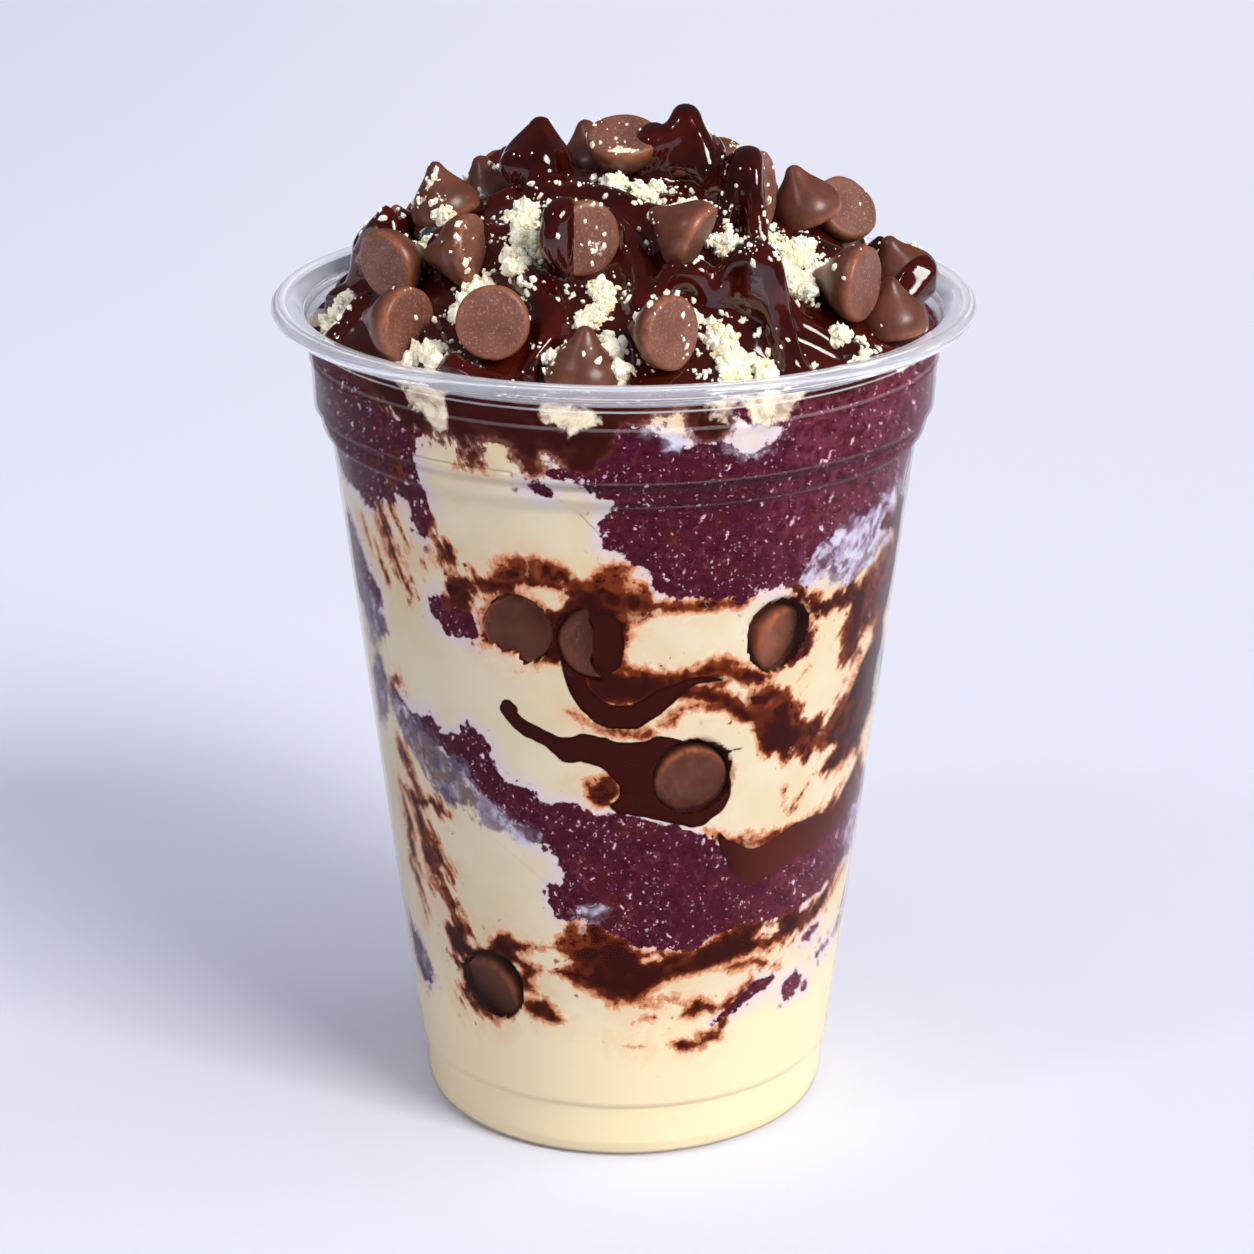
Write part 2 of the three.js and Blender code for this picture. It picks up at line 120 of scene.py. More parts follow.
MILKY_PATCHES = [
    [(-64, 68), (-56, 65.6), (-50, 64.8), (-43, 62.6), (-38, 59.6), (-34, 56.4), (-27, 54),
     (-19, 51.4), (-25, 50.4), (-32, 51.6), (-38, 53), (-44, 53.6), (-50, 56.6), (-56, 60),
     (-64, 63)],
    [(37, 88.6), (42, 92.4), (48, 95.4), (56, 95), (64, 96), (76, 97.4), (92, 98), (90, 90),
     (70, 89), (60, 86.8), (52, 84.6), (46, 85.6), (42, 87.2)],
    [(4, 112.6), (8, 113.6), (12, 112), (9, 110.4)],
    [(17, 110.5), (21, 112.5), (27, 112.6), (28, 110.4), (24, 108.8), (20, 108.4)],
    [(-72, 82), (-62, 80), (-58, 78.4), (-62, 75), (-72, 73)],
    [(-11, 40.6), (-6, 41.4), (-3, 40.4), (-7, 39.4)],
    [(68, 47), (80, 46), (90, 44), (84, 38), (70, 40)],
    [(-74, 66), (-67, 72), (-62, 68), (-66, 62), (-74, 60)],
    [(-68, 27.6), (-62, 25.6), (-59, 23.4), (-63, 22.4), (-70, 24)],
]
# Dark syrup, clear and reddish at its edges.
SYRUP_POOLS = [
    [(-56, 118), (-52, 113), (-45, 111), (-40, 109.6), (-35, 110.6), (-31, 110.6), (-29.2, 109),
     (-28.5, 107), (-27, 106.8), (-26, 110), (-21, 111), (-18.5, 109), (-17, 106.4), (-15.4, 107),
     (-14.4, 109.6), (-11, 108.6), (-7, 107.4), (-3, 108.4), (-1.4, 111.4), (2, 113.6), (6, 115),
     (8, 118)],
    [(10, 118), (11, 114), (13, 111.4), (17, 111.6), (19, 114), (18, 118)],
    [(-13, 111), (-11.4, 108.6), (-8.6, 107), (-5.6, 106.8), (-3, 108.2), (-1, 110.6), (-4, 112)],
    [(-38, 86.6), (-34, 90), (-29, 90.2), (-24, 90), (-18, 90.8), (-10, 89.8), (-4, 90.4), (1, 90),
     (5, 88.4), (8, 86.8), (4, 86.4), (0, 86.6), (0.8, 84), (0, 81), (-3, 82), (-6, 84.6),
     (-12, 86.4), (-18, 87.6), (-24, 88.6), (-30, 87.6), (-33, 84.6), (-37, 84)],
    [(-17.5, 87.4), (-9, 87.6), (-8, 84), (-9, 80), (-12, 78.6), (-16.6, 79.2), (-15.6, 83)],
    [(-10, 78), (-8, 74.6), (-3, 73), (2, 72.4), (7, 74.4), (12, 75.8), (18, 76.4), (23, 75),
     (30, 73.8), (28, 76.4), (19, 77.8), (10, 77.4), (3, 77.6), (-2, 78.2), (-6, 79.6)],
    [(35, 88.6), (40, 85.8), (46, 84.6), (54, 85), (61, 84), (59, 79), (60, 74), (56, 72.8),
     (53, 76), (55, 80), (50, 82), (44, 82), (39.6, 83.4)],
    [(-50, 32.6), (-46, 34.4), (-42, 31.8), (-36, 32.2), (-33, 34.4), (-29, 35), (-24, 33.8),
     (-17, 34.8), (-11, 35), (-8, 38.4), (-3, 37), (1, 35.6), (4, 34.6), (9, 33.8), (16, 33.6),
     (22, 35.8), (30, 36.8), (38, 36), (46, 36.4), (54, 36), (64, 38.6), (60, 34.4), (52, 32.6),
     (44, 32), (36, 31.6), (28, 31.2), (20, 30.6), (14, 29.6), (9, 28.6), (6, 27), (2, 25.8),
     (-3, 26), (-7, 27.6), (-12, 29.2), (-18, 30.4), (-23, 29), (-26, 28), (-27, 30.4),
     (-31, 30.8), (-38, 30.6), (-42, 29.6), (-47, 28.4)],
    [(-26, 24.6), (-22, 25.6), (-18.6, 24.6), (-16.4, 22.8), (-21, 22.6), (-25, 23.4)],
    [(-9, 60.4), (-6, 61.4), (-2, 61.6), (-1, 59.4), (-4, 57.4), (-7, 58)],
    [(50, 62), (55, 66), (60, 70), (68, 74), (74, 78), (80, 66), (72, 60), (60, 57), (50, 57.4),
     (54, 60)],
    [(62, 92), (68, 93), (76, 94), (84, 84), (76, 76), (70, 80), (72, 88)],
    [(6, 75), (12, 73.6), (18, 72.2), (22, 70), (27, 68.2), (30, 65.4), (32, 63), (38, 61.8),
     (43, 62.4), (48, 64.2), (46, 66), (40, 66.4), (37.4, 69), (36.4, 71.6), (32, 70.2), (27, 71.2),
     (22, 73.4), (17, 75), (10, 76)],
]
SYRUP_RIBBONS = [
    [(-64, 52.6), (-56, 51.4), (-50, 52.4), (-45, 51.4), 1.6],
    [(-58, 52), (-55, 47), (-52, 42), (-46, 41), 1.8],
    [(-64, 50), (-62, 45), (-64, 40), 2.2], [(-63, 42), (-61, 38), (-60, 33), 1.6],
    [(-47, 38), (-45, 35), (-44, 31), 2.2], [(-57, 97.5), (-54, 93), (-50, 87), (-48, 84.6), 1.4],
    [(-50, 100.6), (-46.5, 103), (-46, 106), 1.6], [(-37, 94), (-35, 91), 1.4],
    [(16, 24.2), (20, 24.6), (25, 23.2), 1.1], [(13, 19.4), (17, 18.4), (21, 18.8), (25.5, 19.7), 1.5],
    [(26, 20.4), (27, 22.6), 0.8], [(24, 23.6), (31, 25.4), 1.0], [(-44, 27.4), (-50, 28), 1.8],
    [(31, 118.6), (36, 115.8), (44, 116), (52, 117.6), 4.0], [(72, 52), (66, 60), (72, 68), 2.6],
    [(-58, 70), (-62, 68), 0.8], [(48, 63), (44, 60.4), 1.2], [(58, 50), (70, 54), 2.0],
]
# Thick sauce pressed flat against the wall.
SAUCE_POOLS = [
    [(-13.6, 80.6), (-12.4, 77), (-10.6, 73.6), (-8, 71), (-4, 69.3), (1, 69), (6, 70.4), (10, 73),
     (14, 75), (21, 75.4), (14, 76.6), (8, 75.4), (4, 73.6), (0, 72.6), (-4, 73), (-7, 74.6),
     (-9, 77.4), (-9.6, 80)],
    [(-6.4, 86), (-3, 86.2), (-0.4, 84.6), (-0.4, 80), (-2.4, 77.6), (-6, 78.2), (-8, 80.6),
     (-7.6, 83.4)],
    [(-26.6, 71), (-25.6, 69.8), (-22, 67.6), (-17, 66), (-13, 63.9), (-9, 63.9), (-5, 63.2),
     (-1.6, 61), (-1.2, 58.8), (-3, 57), (5, 55.4), (11, 54.4), (16, 53.6), (20, 54.6),
     (23.4, 57), (24, 60), (23, 64.2), (26, 64.6), (22, 66), (16, 66.4), (10, 67.8), (4, 67.6),
     (-2, 67.2), (-8, 68.2), (-13, 67.8), (-18, 69.2), (-22, 71.2), (-25, 72)],
    [(21.6, 52.2), (23, 48.6), (27, 44.8), (32, 43.3), (38, 43.8), (42, 44.5), (45, 45.5),
     (47, 44.8), (52, 45), (57, 46.3), (63, 46.5), (69, 47.5), (80, 48.6), (80, 52), (66, 51.4),
     (58, 49.8), (52, 50.5), (44, 50.6), (38, 49.6), (31, 48.6), (26, 50.2)],
]
# Where sauce or cream lies between a chip and the wall.
CHIP_COVERS = [
    [(-7.4, 88), (-3, 88), (2, 86), (2, 76), (-4, 76), (-6.8, 78.6), (-6.2, 81.5), (-6.8, 84)],
    [(-31, 80.2), (-28.6, 79.6), (-26.5, 80.6), (-25, 79.2), (-23, 80), (-21, 78.8), (-20, 76.4),
     (-26, 75), (-31, 77)],
    [(34.6, 75.2), (36.4, 76.2), (38, 75.4), (40, 76.6), (42, 76.4), (41, 73), (35, 72.6)],
]
# Thin brown stains in the cream.
STAIN_POOLS = [
    [(-28, 90), (-25, 93), (-21, 94.6), (-16, 94), (-11, 93.4), (-8, 91.4), (-5, 92.8), (-1, 93.8),
     (3, 93), (5, 91), (8, 88), (16, 88.4), (24, 88), (28, 86.8), (20, 85.6), (10, 85.8), (2, 84),
     (1, 80), (4, 78), (9, 79), (12, 78), (20, 79.4), (26, 77), (20, 74), (-2, 77), (-10, 84),
     (-26, 88)],
    [(-46, 99.6), (-42, 100), (-38, 96.6), (-34, 91.6), (-36, 89.6), (-40, 91), (-42, 95)],
    [(-18, 35), (-14, 38.2), (-8, 38.6), (-6, 35), (-8, 31), (-16, 31)],
    [(17, 54), (24, 51.8), (36, 50.8), (48, 51.4), (60, 52.6), (72, 56), (76, 50), (60, 48),
     (44, 49), (30, 48), (22, 50)],
    [(28, 74), (34, 73.4), (40, 71), (44, 67), (50, 66), (56, 69), (62, 72), (66, 66), (54, 61),
     (40, 61), (30, 65), (24, 71)],
    [(40, 86), (48, 84.6), (58, 86), (68, 90), (78, 84), (72, 72), (64, 76), (58, 73), (52, 72),
     (50, 78), (52, 81)],
    [(-52, 42), (-46, 40), (-42, 36), (-40, 33), (-44, 30), (-50, 30), (-48, 36)],
]
STAIN_RIBBONS = [
    [(-58, 96), (-53, 90), (-49, 85), 2.6], [(-52, 97), (-47, 92), (-42, 89), 0.9],
    [(-64, 92), (-60, 88), (-56, 85), 1.6], [(-62, 60), (-57, 56), (-54, 51), 3.4],
    [(-60, 53), (-52, 46), (-46, 42), 3.4], [(-56, 40), (-50, 38), (-45, 34), 2.6],
    [(-64, 44), (-61, 36), (-60, 31), 2.4], [(-33, 29.6), (-26, 27.4), (-20, 26), 2.4],
    [(12, 27.4), (16, 25), (26, 24), (34, 27), 2.0], [(12, 19.4), (18, 18.6), (26, 20), 2.4],
    [(-12, 71.6), (-2, 68.6), (8, 69.4), (14, 73), 2.0], [(8, 71), (16, 72), (22, 71), 2.2],
    [(-2, 31), (4, 27), (12, 26), 2.2], [(56, 58), (64, 60), (72, 55), 4.0],
    [(36, 72), (38, 66), (44, 65), 2.0], [(2, 22.6), (8, 23.4), 0.9],
    [(38, 57), (41, 53), (46, 56), 0.6],
    [(-28, 108), (-25, 106.8), 1.6], [(-20, 111), (-17, 107), (-13, 107.6), 1.8],
    [(42, 28), (34, 30), (24, 30), 1.8], [(58, 84), (66, 80), (72, 70), (68, 62), 3.6],
    [(60, 34), (70, 38), (80, 41), 1.6], [(-6, 20), (2, 18.6), (8, 18.2), 0.5],
]
# Lumps of milk powder that show through the brim.
POWDER_PATCHES = [
    [(-44, 119), (-42.5, 116), (-41, 114), (-39, 113), (-36.5, 111.6), (-34, 110),
     (-32.6, 112.4), (-32, 115), (-31, 119)],
    [(-13.6, 116), (-13.4, 113.4), (-9.4, 112.4), (-6.2, 113), (-5, 114.6), (-8, 116)],
    [(14.6, 118), (16, 114.4), (18.4, 114), (20, 115.6), (21.4, 114), (23, 112.6), (26, 112.4),
     (28.6, 113), (31, 114), (32, 115.6), (31.6, 118)],
    [(52, 119), (54, 116.6), (60, 115.4), (64, 115.6), (68, 114.6), (71, 116), (72, 119)],
    [(-62, 119), (-59, 116), (-56, 115.8), (-55, 118), (-56, 119)],
]
# Cream that shows through the syrups.
CREAM_HOLES = [
    *CHIP_COVERS[1:],
    [(-21, 89.6), (-17, 90.4), (-12, 89), (-14, 87), (-19, 87.6)],
    [(-27, 32.4), (-20, 33.6), (-14.6, 33.4), (-12.6, 31.8), (-19, 30.8), (-25, 31)],
    [(16, 66.6), (20, 67.8), (26, 67.2), (29.6, 65.4), (23, 65), (17.6, 65.4)],
    [(0.6, 91.6), (2.6, 93), (4.4, 91.4), (2.4, 90.4)], [(34, 34.2), (38, 35), (41, 34), (37, 33.4)],
    [(-22, 71), (-16, 71.6), (-12.4, 70.6), (-15, 68.8), (-20, 69.8)],
    [(5, 33.4), (8.4, 33.8), (9, 32.8), (6, 32.6)],
]
FRONT_LIMIT = 90               # past this turn the swirls carry on as a loose mirror image
TURN_WIDTH = 0.65              # of one degree at the wall

# ------------------------------------------------------------------ the heap

# Thick sauce over the heap: (turn, distance from the axis), then the width.
SAUCE_FALLS = [
    [(-73, 15.9), (-80, 20), (-79, 23.4), 3.6],
    [(-33, 23.2), (-48, 21.4), (-59, 22.6), (-65, 25.2), (-63, 27.7), (-58, 29.8), 4.6],
    [(-47, 22.5), (-33, 26.1), (-24, 29), (-18, 32), (-16, 36), (-17, 39.6), 5.4],
    [(-66, 28.6), (-76, 31.5), (-86, 34.9), (-90, 37.8), (-94, 40.7), 3.8],
    [(-74, 37.1), (-71, 39.4), (-70, 42.2), 3.6],
    [(-64, 12.7), (-33, 12.2), (-11, 13), (8, 15.9), (28, 18.6), 6.6],
    [(-24, 15.8), (-22, 20.3), (-19, 25.5), (-18, 28.7), 5.0],
    [(-8, 17.1), (2, 21.4), (5, 26.9), (4, 31), (6, 33.5), 4.8],
    [(4, 30), (8, 29.3), (19, 30.4), (26, 31.9), (29, 35.1), (32, 37.5), (35, 42), 5.6],
    [(74, 15), (59, 18.6), (48, 23.9), (44, 27.3), 4.6],
    [(90, 8), (76, 9.3), (62, 13.9), (59, 17.5), 4.6],
    [(54, 5.2), (76, 8.4), (100, 9), 5.2],
    [(68, 26.6), (76, 31.1), (79, 34.6), (81, 38.1), (86, 42.2), 4.4],
    [(37, 34.2), (43, 36.8), (49, 39.6), (57, 41.1), (61, 42.4), 4.6],
    [(-47, 36.3), (-37, 39.6), (-31, 41.6), (-23, 41.5), 4.2],
    [(61, 18), (35, 22.1), (30, 26.9), 4.0], [(-4, 38), (2, 41.6), 3.4],
    [(150, 6), (158, 16), (166, 27), (164, 35), (166, 42), 5.4],
    [(-160, 7), (-150, 20), (-152, 32), (-148, 42), 5.4],
    [(110, 10), (124, 22), (118, 32), (120, 42), 5.4],
    [(-125, 12), (-118, 24), (-112, 34), (-108, 42), 5.0],
    [(-178, 30), (178, 42), 4.6], [(140, 28), (142, 42), 4.5], [(96, 34), (98, 42), 4.0],
]

# Chips that the sauce glazes but for their bases, and more that it runs over.
GLAZED = ["chip_01", "chip_04", "chip_07", "chip_17", "chip_24", "chip_28", "chip_31", "chip_35",
          "chip_36"]
CROSSED = GLAZED + ["chip_03", "chip_08", "chip_14", "chip_16", "chip_22"]
CHIP_REACH_OUT = 0.7           # of a wall chip's base, on towards the wall
# How much painted shade darkens each chip behind the wall.
WALL_CHIP_PAINTED_SHADE = {"chip_37": 0.9, "chip_38": 0.65, "chip_39": 0.05, "chip_40": 0.7, "chip_41": 0.75}

POWDER_REACH = 41.8            # of the lumps from the axis, just short of the wall
POWDER_FOOT = 114.0            # the height over which crumbs lie
# Lumps of milk powder: (turn, distance from the axis, radius).
POWDER_LUMPS = [
    (-51, 18.8, 3.4), (-40, 20.5, 2.0), (-31, 24.1, 2.7), (-33, 26.6, 1.8), (-8, 8.5, 3.2),
    (20, 9.4, 2.6), (14, 12.3, 2.2), (34, 14.5, 2.6), (34, 24.7, 2.6), (40, 23, 1.8),
    (61, 27.1, 3.8), (54, 25.5, 2.8), (48, 29.9, 3.4), (62, 30.5, 2.4), (23, 37.5, 3.6),
    (19, 34.9, 2.8), (15, 33, 2.0), (26, 39.7, 2.8), (21, 41, 2.6), (-6, 29.2, 2.8),
    (-7, 32.6, 2.8), (-4, 35.7, 2.8), (0, 39.4, 2.0), (-35, 31, 3.2), (-40, 33.4, 2.2),
    (-30, 27.8, 2.2), (47, 40.9, 3.2), (52, 41.4, 2.4), (-73, 28.3, 2.8), (-70, 25.9, 2.0),
    (-83, 40.2, 3.2), (-76, 41, 2.4), (-37, 41.0, 2.8), (-43, 41.2, 2.0), (78, 41.8, 1.8),
    (-13, 38.1, 1.8), (112, 22, 3.2), (140, 31, 3.2), (178, 18, 3.2),
    (-122, 21, 3.2), (-166, 33, 3.2), (-103, 37, 2.6), (150, 14, 2.6), (-150, 40, 2.6),
    (100, 40.5, 2.4), (165, 41, 2.4), (125, 37, 2.6), (-134, 31, 2.4),
]
# Where chips are dusted more: (turn, distance from the axis, radius).
DUSTED_SPOTS = [(14, 23, 4.0), (26, 31.5, 3.4), (13, 40.4, 3.2), (-7, 27.4, 3.6), (2, 3.6, 2.0)]

# ------------------------------------------------------------------ small helpers

def heading(turn):
    """The direction of a turn in plan, 0 at the front."""
    angle = np.radians(turn)
    return np.stack([np.sin(angle), -np.cos(angle)], -1)


def turn_of(points):
    """The turn at which each point lies."""
    return np.degrees(np.arctan2(points[:, 0], -points[:, 1]))


def wrapped(turn):
    """A turn as one from -180 to 180."""
    return (turn + 180) % 360 - 180


def in_plan(points):
    """(turn, distance from the axis) to x and y."""
    turn, reach = np.array(points, float).T
    return heading(turn) * reach[:, None]


def spots_in_plan(rows):
    """(turn, distance from the axis, radius) to a place in plan and a radius."""
    return [(in_plan([(turn, reach)])[0], radius) for turn, reach, radius in rows]


def smoothstep(low, high, value):
    share = np.clip((value - low) / (high - low), 0, 1)
    return share * share * (3 - 2 * share)


def smooth_min(a, b, blend):
    """The lesser of two fields, blended where they are close."""
    share = np.clip(0.5 + 0.5 * (b - a) / blend, 0, 1)
    return b * (1 - share) + a * share - blend * share * (1 - share)


def grain(points, size, seed=0, octaves=1):
    """Smooth seeded noise from -1 to 1 at points, an array (..., 3)."""
    total, weight, reach = 0, 1.0, 0.0
    for octave in range(octaves):
        at = points / (size * 0.5 ** octave) + 37.7 * octave
        cell = np.floor(at).astype(np.int64)
        part = at - cell
        part = part * part * (3 - 2 * part)
        value = 0
        for corner in range(8):
            step = np.array([corner & 1, corner >> 1 & 1, corner >> 2 & 1])
            x, y, z = np.moveaxis(cell + step, -1, 0)
            mixed = (x * 73856093) ^ (y * 19349663) ^ (z * 83492791) ^ ((seed + octave) * 7919)
            mixed = ((mixed ^ (mixed >> 13)) * 1274126177) & 0xFFFFFFFF
            mixed = ((mixed ^ (mixed >> 16)) * 2246822519) & 0xFFFFFFFF
            share = np.prod(np.where(step == 1, part, 1 - part), axis=-1)
            value = value + share * ((mixed >> 8 & 0xFFFF) / 32767.5 - 1)
        total = total + weight * value
        reach += weight
        weight *= 0.5
    return total / reach


def curved(points, steps=5, closed=False):
    """Points of a smooth curve through the given ones."""
    points = np.array(points, float)
    count = len(points)
    spans = count if closed else count - 1
    out = []
    for i in range(spans):
        wrap = (lambda k: k % count) if closed else (lambda k: min(max(k, 0), count - 1))
        a, b, c, d = (points[wrap(i + k)] for k in (-1, 0, 1, 2))
        for t in np.arange(steps) / steps:
            out.append(0.5 * (2 * b + (c - a) * t + (2 * a - 5 * b + 4 * c - d) * t ** 2
                              + (3 * b - a - 3 * c + d) * t ** 3))
    if not closed:
        out.append(points[-1])
    return np.array(out)


def distance_to_path(points, path):
    """The distance from each point (n, k) to a polyline, and how far along it the nearest is."""
    best = np.full(len(points), 1e9)
    along = np.zeros(len(points))
    for i in range(len(path) - 1):
        a, step = path[i], path[i + 1] - path[i]
        share = np.clip((points - a) @ step / max(step @ step, 1e-9), 0, 1)
        apart = np.linalg.norm(points - a - share[:, None] * step, axis=1)
        nearer = apart < best
        best = np.where(nearer, apart, best)
        along = np.where(nearer, (i + share) / (len(path) - 1), along)
    return best, along


def depth_in_outline(points, outline):
    """How deep each point lies inside a closed outline, negative outside."""
    inside = np.zeros(len(points), bool)
    x, y = points.T
    for a, b in zip(outline, np.roll(outline, -1, axis=0)):
        crosses = (a[1] > y) != (b[1] > y)
        level = np.where(b[1] == a[1], 1e-9, b[1] - a[1])
        inside ^= crosses & (x < (b[0] - a[0]) * (y - a[1]) / level + a[0])
    apart, _ = distance_to_path(points, np.vstack([outline, outline[:1]]))
    return np.where(inside, apart, -apart)


def show(obj):
    bpy.context.scene.collection.objects.link(obj)
    return obj


def new_mesh_object(name, vertices_mm, faces, smooth=True):
    mesh = bpy.data.meshes.new(name)
    mesh.from_pydata((np.asarray(vertices_mm, float) * MM).tolist(), [], faces)
    mesh.update()
    if smooth:
        mesh.shade_smooth()
    return show(bpy.data.objects.new(name, mesh))


def vertices_of(obj):
    """The vertices of an object, in millimetres."""
    return np.array([vertex.co for vertex in obj.data.vertices]) / MM


def band(a, b):
    """Quads between two closed rings of vertices."""
    return np.column_stack([a, np.roll(a, -1), np.roll(b, -1), b]).tolist()


def fan(ring, pole):
    """Triangles from a closed ring of vertices to a pole."""
    return [[int(a), int(b), int(pole)] for a, b in zip(ring, np.roll(ring, -1))]


def round_ball(subdivisions, radius):
    """The points and the faces of a ball."""
    ball = bmesh.new()
    bmesh.ops.create_icosphere(ball, subdivisions=subdivisions, radius=radius)
    points = np.array([vertex.co for vertex in ball.verts])
    faces = [[vertex.index for vertex in face.verts] for face in ball.faces]
    ball.free()
    return points, faces


def face_outwards(obj):
    shape = bmesh.new()
    shape.from_mesh(obj.data)
    bmesh.ops.recalc_face_normals(shape, faces=shape.faces)
    shape.to_mesh(obj.data)
    shape.free()
    obj.data.update()


def apply_modifiers(piece):
    """Makes what a piece's modifiers show its own mesh."""
    shown = piece.evaluated_get(bpy.context.evaluated_depsgraph_get())
    mesh = bpy.data.meshes.new_from_object(shown)
    piece.modifiers.clear()
    old, piece.data = piece.data, mesh
    bpy.data.meshes.remove(old)
    mesh.name = piece.name
    return piece


def set_attribute(obj, name, values):
    layer = obj.data.attributes.new(name, "FLOAT", "POINT")
    layer.data.foreach_set("value", np.asarray(values, np.float32).ravel())


def join_objects(name, parts):
    """One object from several, which are used up."""
    with bpy.context.temp_override(active_object=parts[0], selected_editable_objects=parts):
        bpy.ops.object.join()
    parts[0].name = parts[0].data.name = name
    return parts[0]


def join_copies(name, pieces):
    """One object from copies of several."""
    return join_objects(name, [show(bpy.data.objects.new(f"{piece.name}_copy", piece.data.copy()))
                               for piece in pieces])


def finish_piece(piece, slot, *nodes):
    """Places a finished piece on the body and hides the nodes that it stands for. slot is not used."""
    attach(piece, "root")
    if nodes:
        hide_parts(*nodes)
    return piece


# ------------------------------------------------------------------ node helpers

def feed(tree, node, inputs):
    """Sets a node's inputs to values, or links them from sockets."""
    for name, value in inputs.items():
        if isinstance(value, bpy.types.NodeSocket):
            tree.links.new(value, node.inputs[name])
        else:
            node.inputs[name].default_value = value


def put(tree, kind, inputs=None, **settings):
    """A new node with its settings and its inputs."""
    made = tree.nodes.new(kind)
    for name, value in settings.items():
        setattr(made, name, value)
    feed(tree, made, inputs or {})
    return made


def maths(tree, operation, a, b=0.0):
    return put(tree, "ShaderNodeMath", {0: a, 1: b}, operation=operation).outputs[0]


def plus(tree, *values):
    total = values[0]
    for value in values[1:]:
        total = maths(tree, "ADD", total, value)
    return total


def times(tree, *shares):
    total = shares[0]
    for share in shares[1:]:
        total = maths(tree, "MULTIPLY", total, share)
    return total


def vectors(tree, operation, inputs, output="Vector"):
    return put(tree, "ShaderNodeVectorMath", inputs, operation=operation).outputs[output]


def wobble(tree, noise_colour, amount):
    """A shift to any side, from the colour of a noise."""
    centred = vectors(tree, "SUBTRACT", {0: noise_colour, 1: (0.5, 0.5, 0.5)})
    return vectors(tree, "SCALE", {0: centred, "Scale": amount})


def part_of(tree, place, axis):
    return put(tree, "ShaderNodeSeparateXYZ", {0: place}).outputs[axis]


def ramp(tree, value, low, high, to_low=0.0, to_high=1.0):
    made = put(tree, "ShaderNodeMapRange", {"Value": value, "From Min": low, "From Max": high,
                                            "To Min": to_low, "To Max": to_high},
               interpolation_type="SMOOTHSTEP")
    return made.outputs["Result"]


def mix_colour(tree, share, a, b):
    made = put(tree, "ShaderNodeMix", {0: share, 6: a, 7: b}, data_type="RGBA")
    return made.outputs[2]


def painted(tree, ground, *coats):
    """A colour with coats laid over it in order, each (share, colour)."""
    for share, coat in coats:
        ground = mix_colour(tree, share, ground, coat)
    return ground


def noise(tree, where, scale, detail=3.0, roughness=0.55, distortion=0.0):
    made = put(tree, "ShaderNodeTexNoise", {"Vector": where, "Scale": scale, "Detail": detail,
                                            "Roughness": roughness, "Distortion": distortion})
    return made.outputs["Fac"]


def new_group(name, inputs, outputs, kind="ShaderNodeTree"):
    tree = bpy.data.node_groups.new(name, kind)
    for label, socket in inputs:
        tree.interface.new_socket(label, in_out="INPUT", socket_type=socket)
    for label, socket in outputs:
        tree.interface.new_socket(label, in_out="OUTPUT", socket_type=socket)
    return tree, tree.nodes.new("NodeGroupInput"), tree.nodes.new("NodeGroupOutput")


def new_material(name):
    material = bpy.data.materials.new(name)
    material.use_nodes = True
    tree = material.node_tree
    return material, tree, tree.nodes["Principled BSDF"]


def object_place(tree):
    return put(tree, "ShaderNodeTexCoord").outputs["Object"]


def attribute(tree, name):
    return put(tree, "ShaderNodeAttribute", attribute_name=name).outputs["Fac"]


def bump(tree, height, strength, distance_mm):
    made = put(tree, "ShaderNodeBump", {"Height": height, "Strength": strength,
                                        "Distance": distance_mm * MM})
    return made.outputs["Normal"]


def colour(red, green, blue):
    """A colour from its 0 to 255 screen values."""
    def linear(value):
        share = value / 255
        return share / 12.92 if share <= 0.04045 else ((share + 0.055) / 1.055) ** 2.4
    return (linear(red), linear(green), linear(blue), 1.0)


# ------------------------------------------------------------------ finishes

CREAM = colour(206, 193, 168)
CREAM_DEEP = colour(201, 186, 154)
CREAM_LOW = colour(220, 203, 168)
CREAM_THIN = colour(198, 184, 198)
STAIN_LIGHT = colour(204, 144, 106)
STAIN = colour(134, 66, 32)
STAIN_BRIM = colour(104, 60, 52)
ACAI = colour(69, 17, 33)
# Pale acai, which is also painted over the right side of the wall as painted light.
ACAI_PALE_AND_LIT = colour(122, 54, 74)
ACAI_DARK = colour(48, 8, 26)
ACAI_BROWN = colour(70, 22, 18)
MILKY = colour(192, 188, 205)
MILKY_DARK = colour(150, 124, 152)
MILKY_SLATE = colour(84, 70, 92)
ICE = colour(226, 190, 206)
# Syrup colours, which are also painted into the pockets round the wall chips as painted shade.
SYRUP = colour(46, 10, 7)
SYRUP_THIN = colour(104, 42, 18)
SYRUP_BRIM = colour(76, 34, 28)
SAUCE = colour(47, 12, 7)
SAUCE_EDGE = colour(28, 5, 3)
SAUCE_LIT = colour(72, 28, 20)
POWDER_WALL = colour(214, 202, 176)
POWDER_SHADE = colour(164, 136, 122)
SWIRL_FIELDS = ("acai", "milky", "stain", "syrup", "sauce", "powder")

THICK_SAUCE = colour(40, 4, 2)
THICK_SAUCE_LIGHT = colour(66, 10, 4)
THIN_SAUCE = colour(66, 20, 10)

CHIP_FIELDS = ("base_face", "base_edge", "dust", "behind_wall")
CHIP_FLANK = colour(90, 48, 34)
CHIP_FLANK_LIGHT = colour(106, 60, 44)
CHIP_BASE = colour(106, 60, 46)
CHIP_BASE_LIGHT = colour(122, 74, 58)
CHIP_BLOOM = colour(200, 160, 138)
# Painted shade for chips that lie behind the wall.
CHIP_PAINTED_SHADE = colour(46, 18, 14)
CHIP_WORN = colour(160, 94, 62)
CHIP_DUST = colour(236, 222, 196)
# Milk powder: the painted shade of its hollows, and its lit colour.
POWDER_HOLLOW_SHADE = colour(246, 236, 206)
POWDER_LIGHT = colour(255, 252, 238)
# The hearts of the lumps, a darker, yellower copy of the powder: painted shade deep in each lump.
HEART_HOLLOW_SHADE = colour(240, 224, 172)
HEART_LIGHT = colour(250, 242, 214)

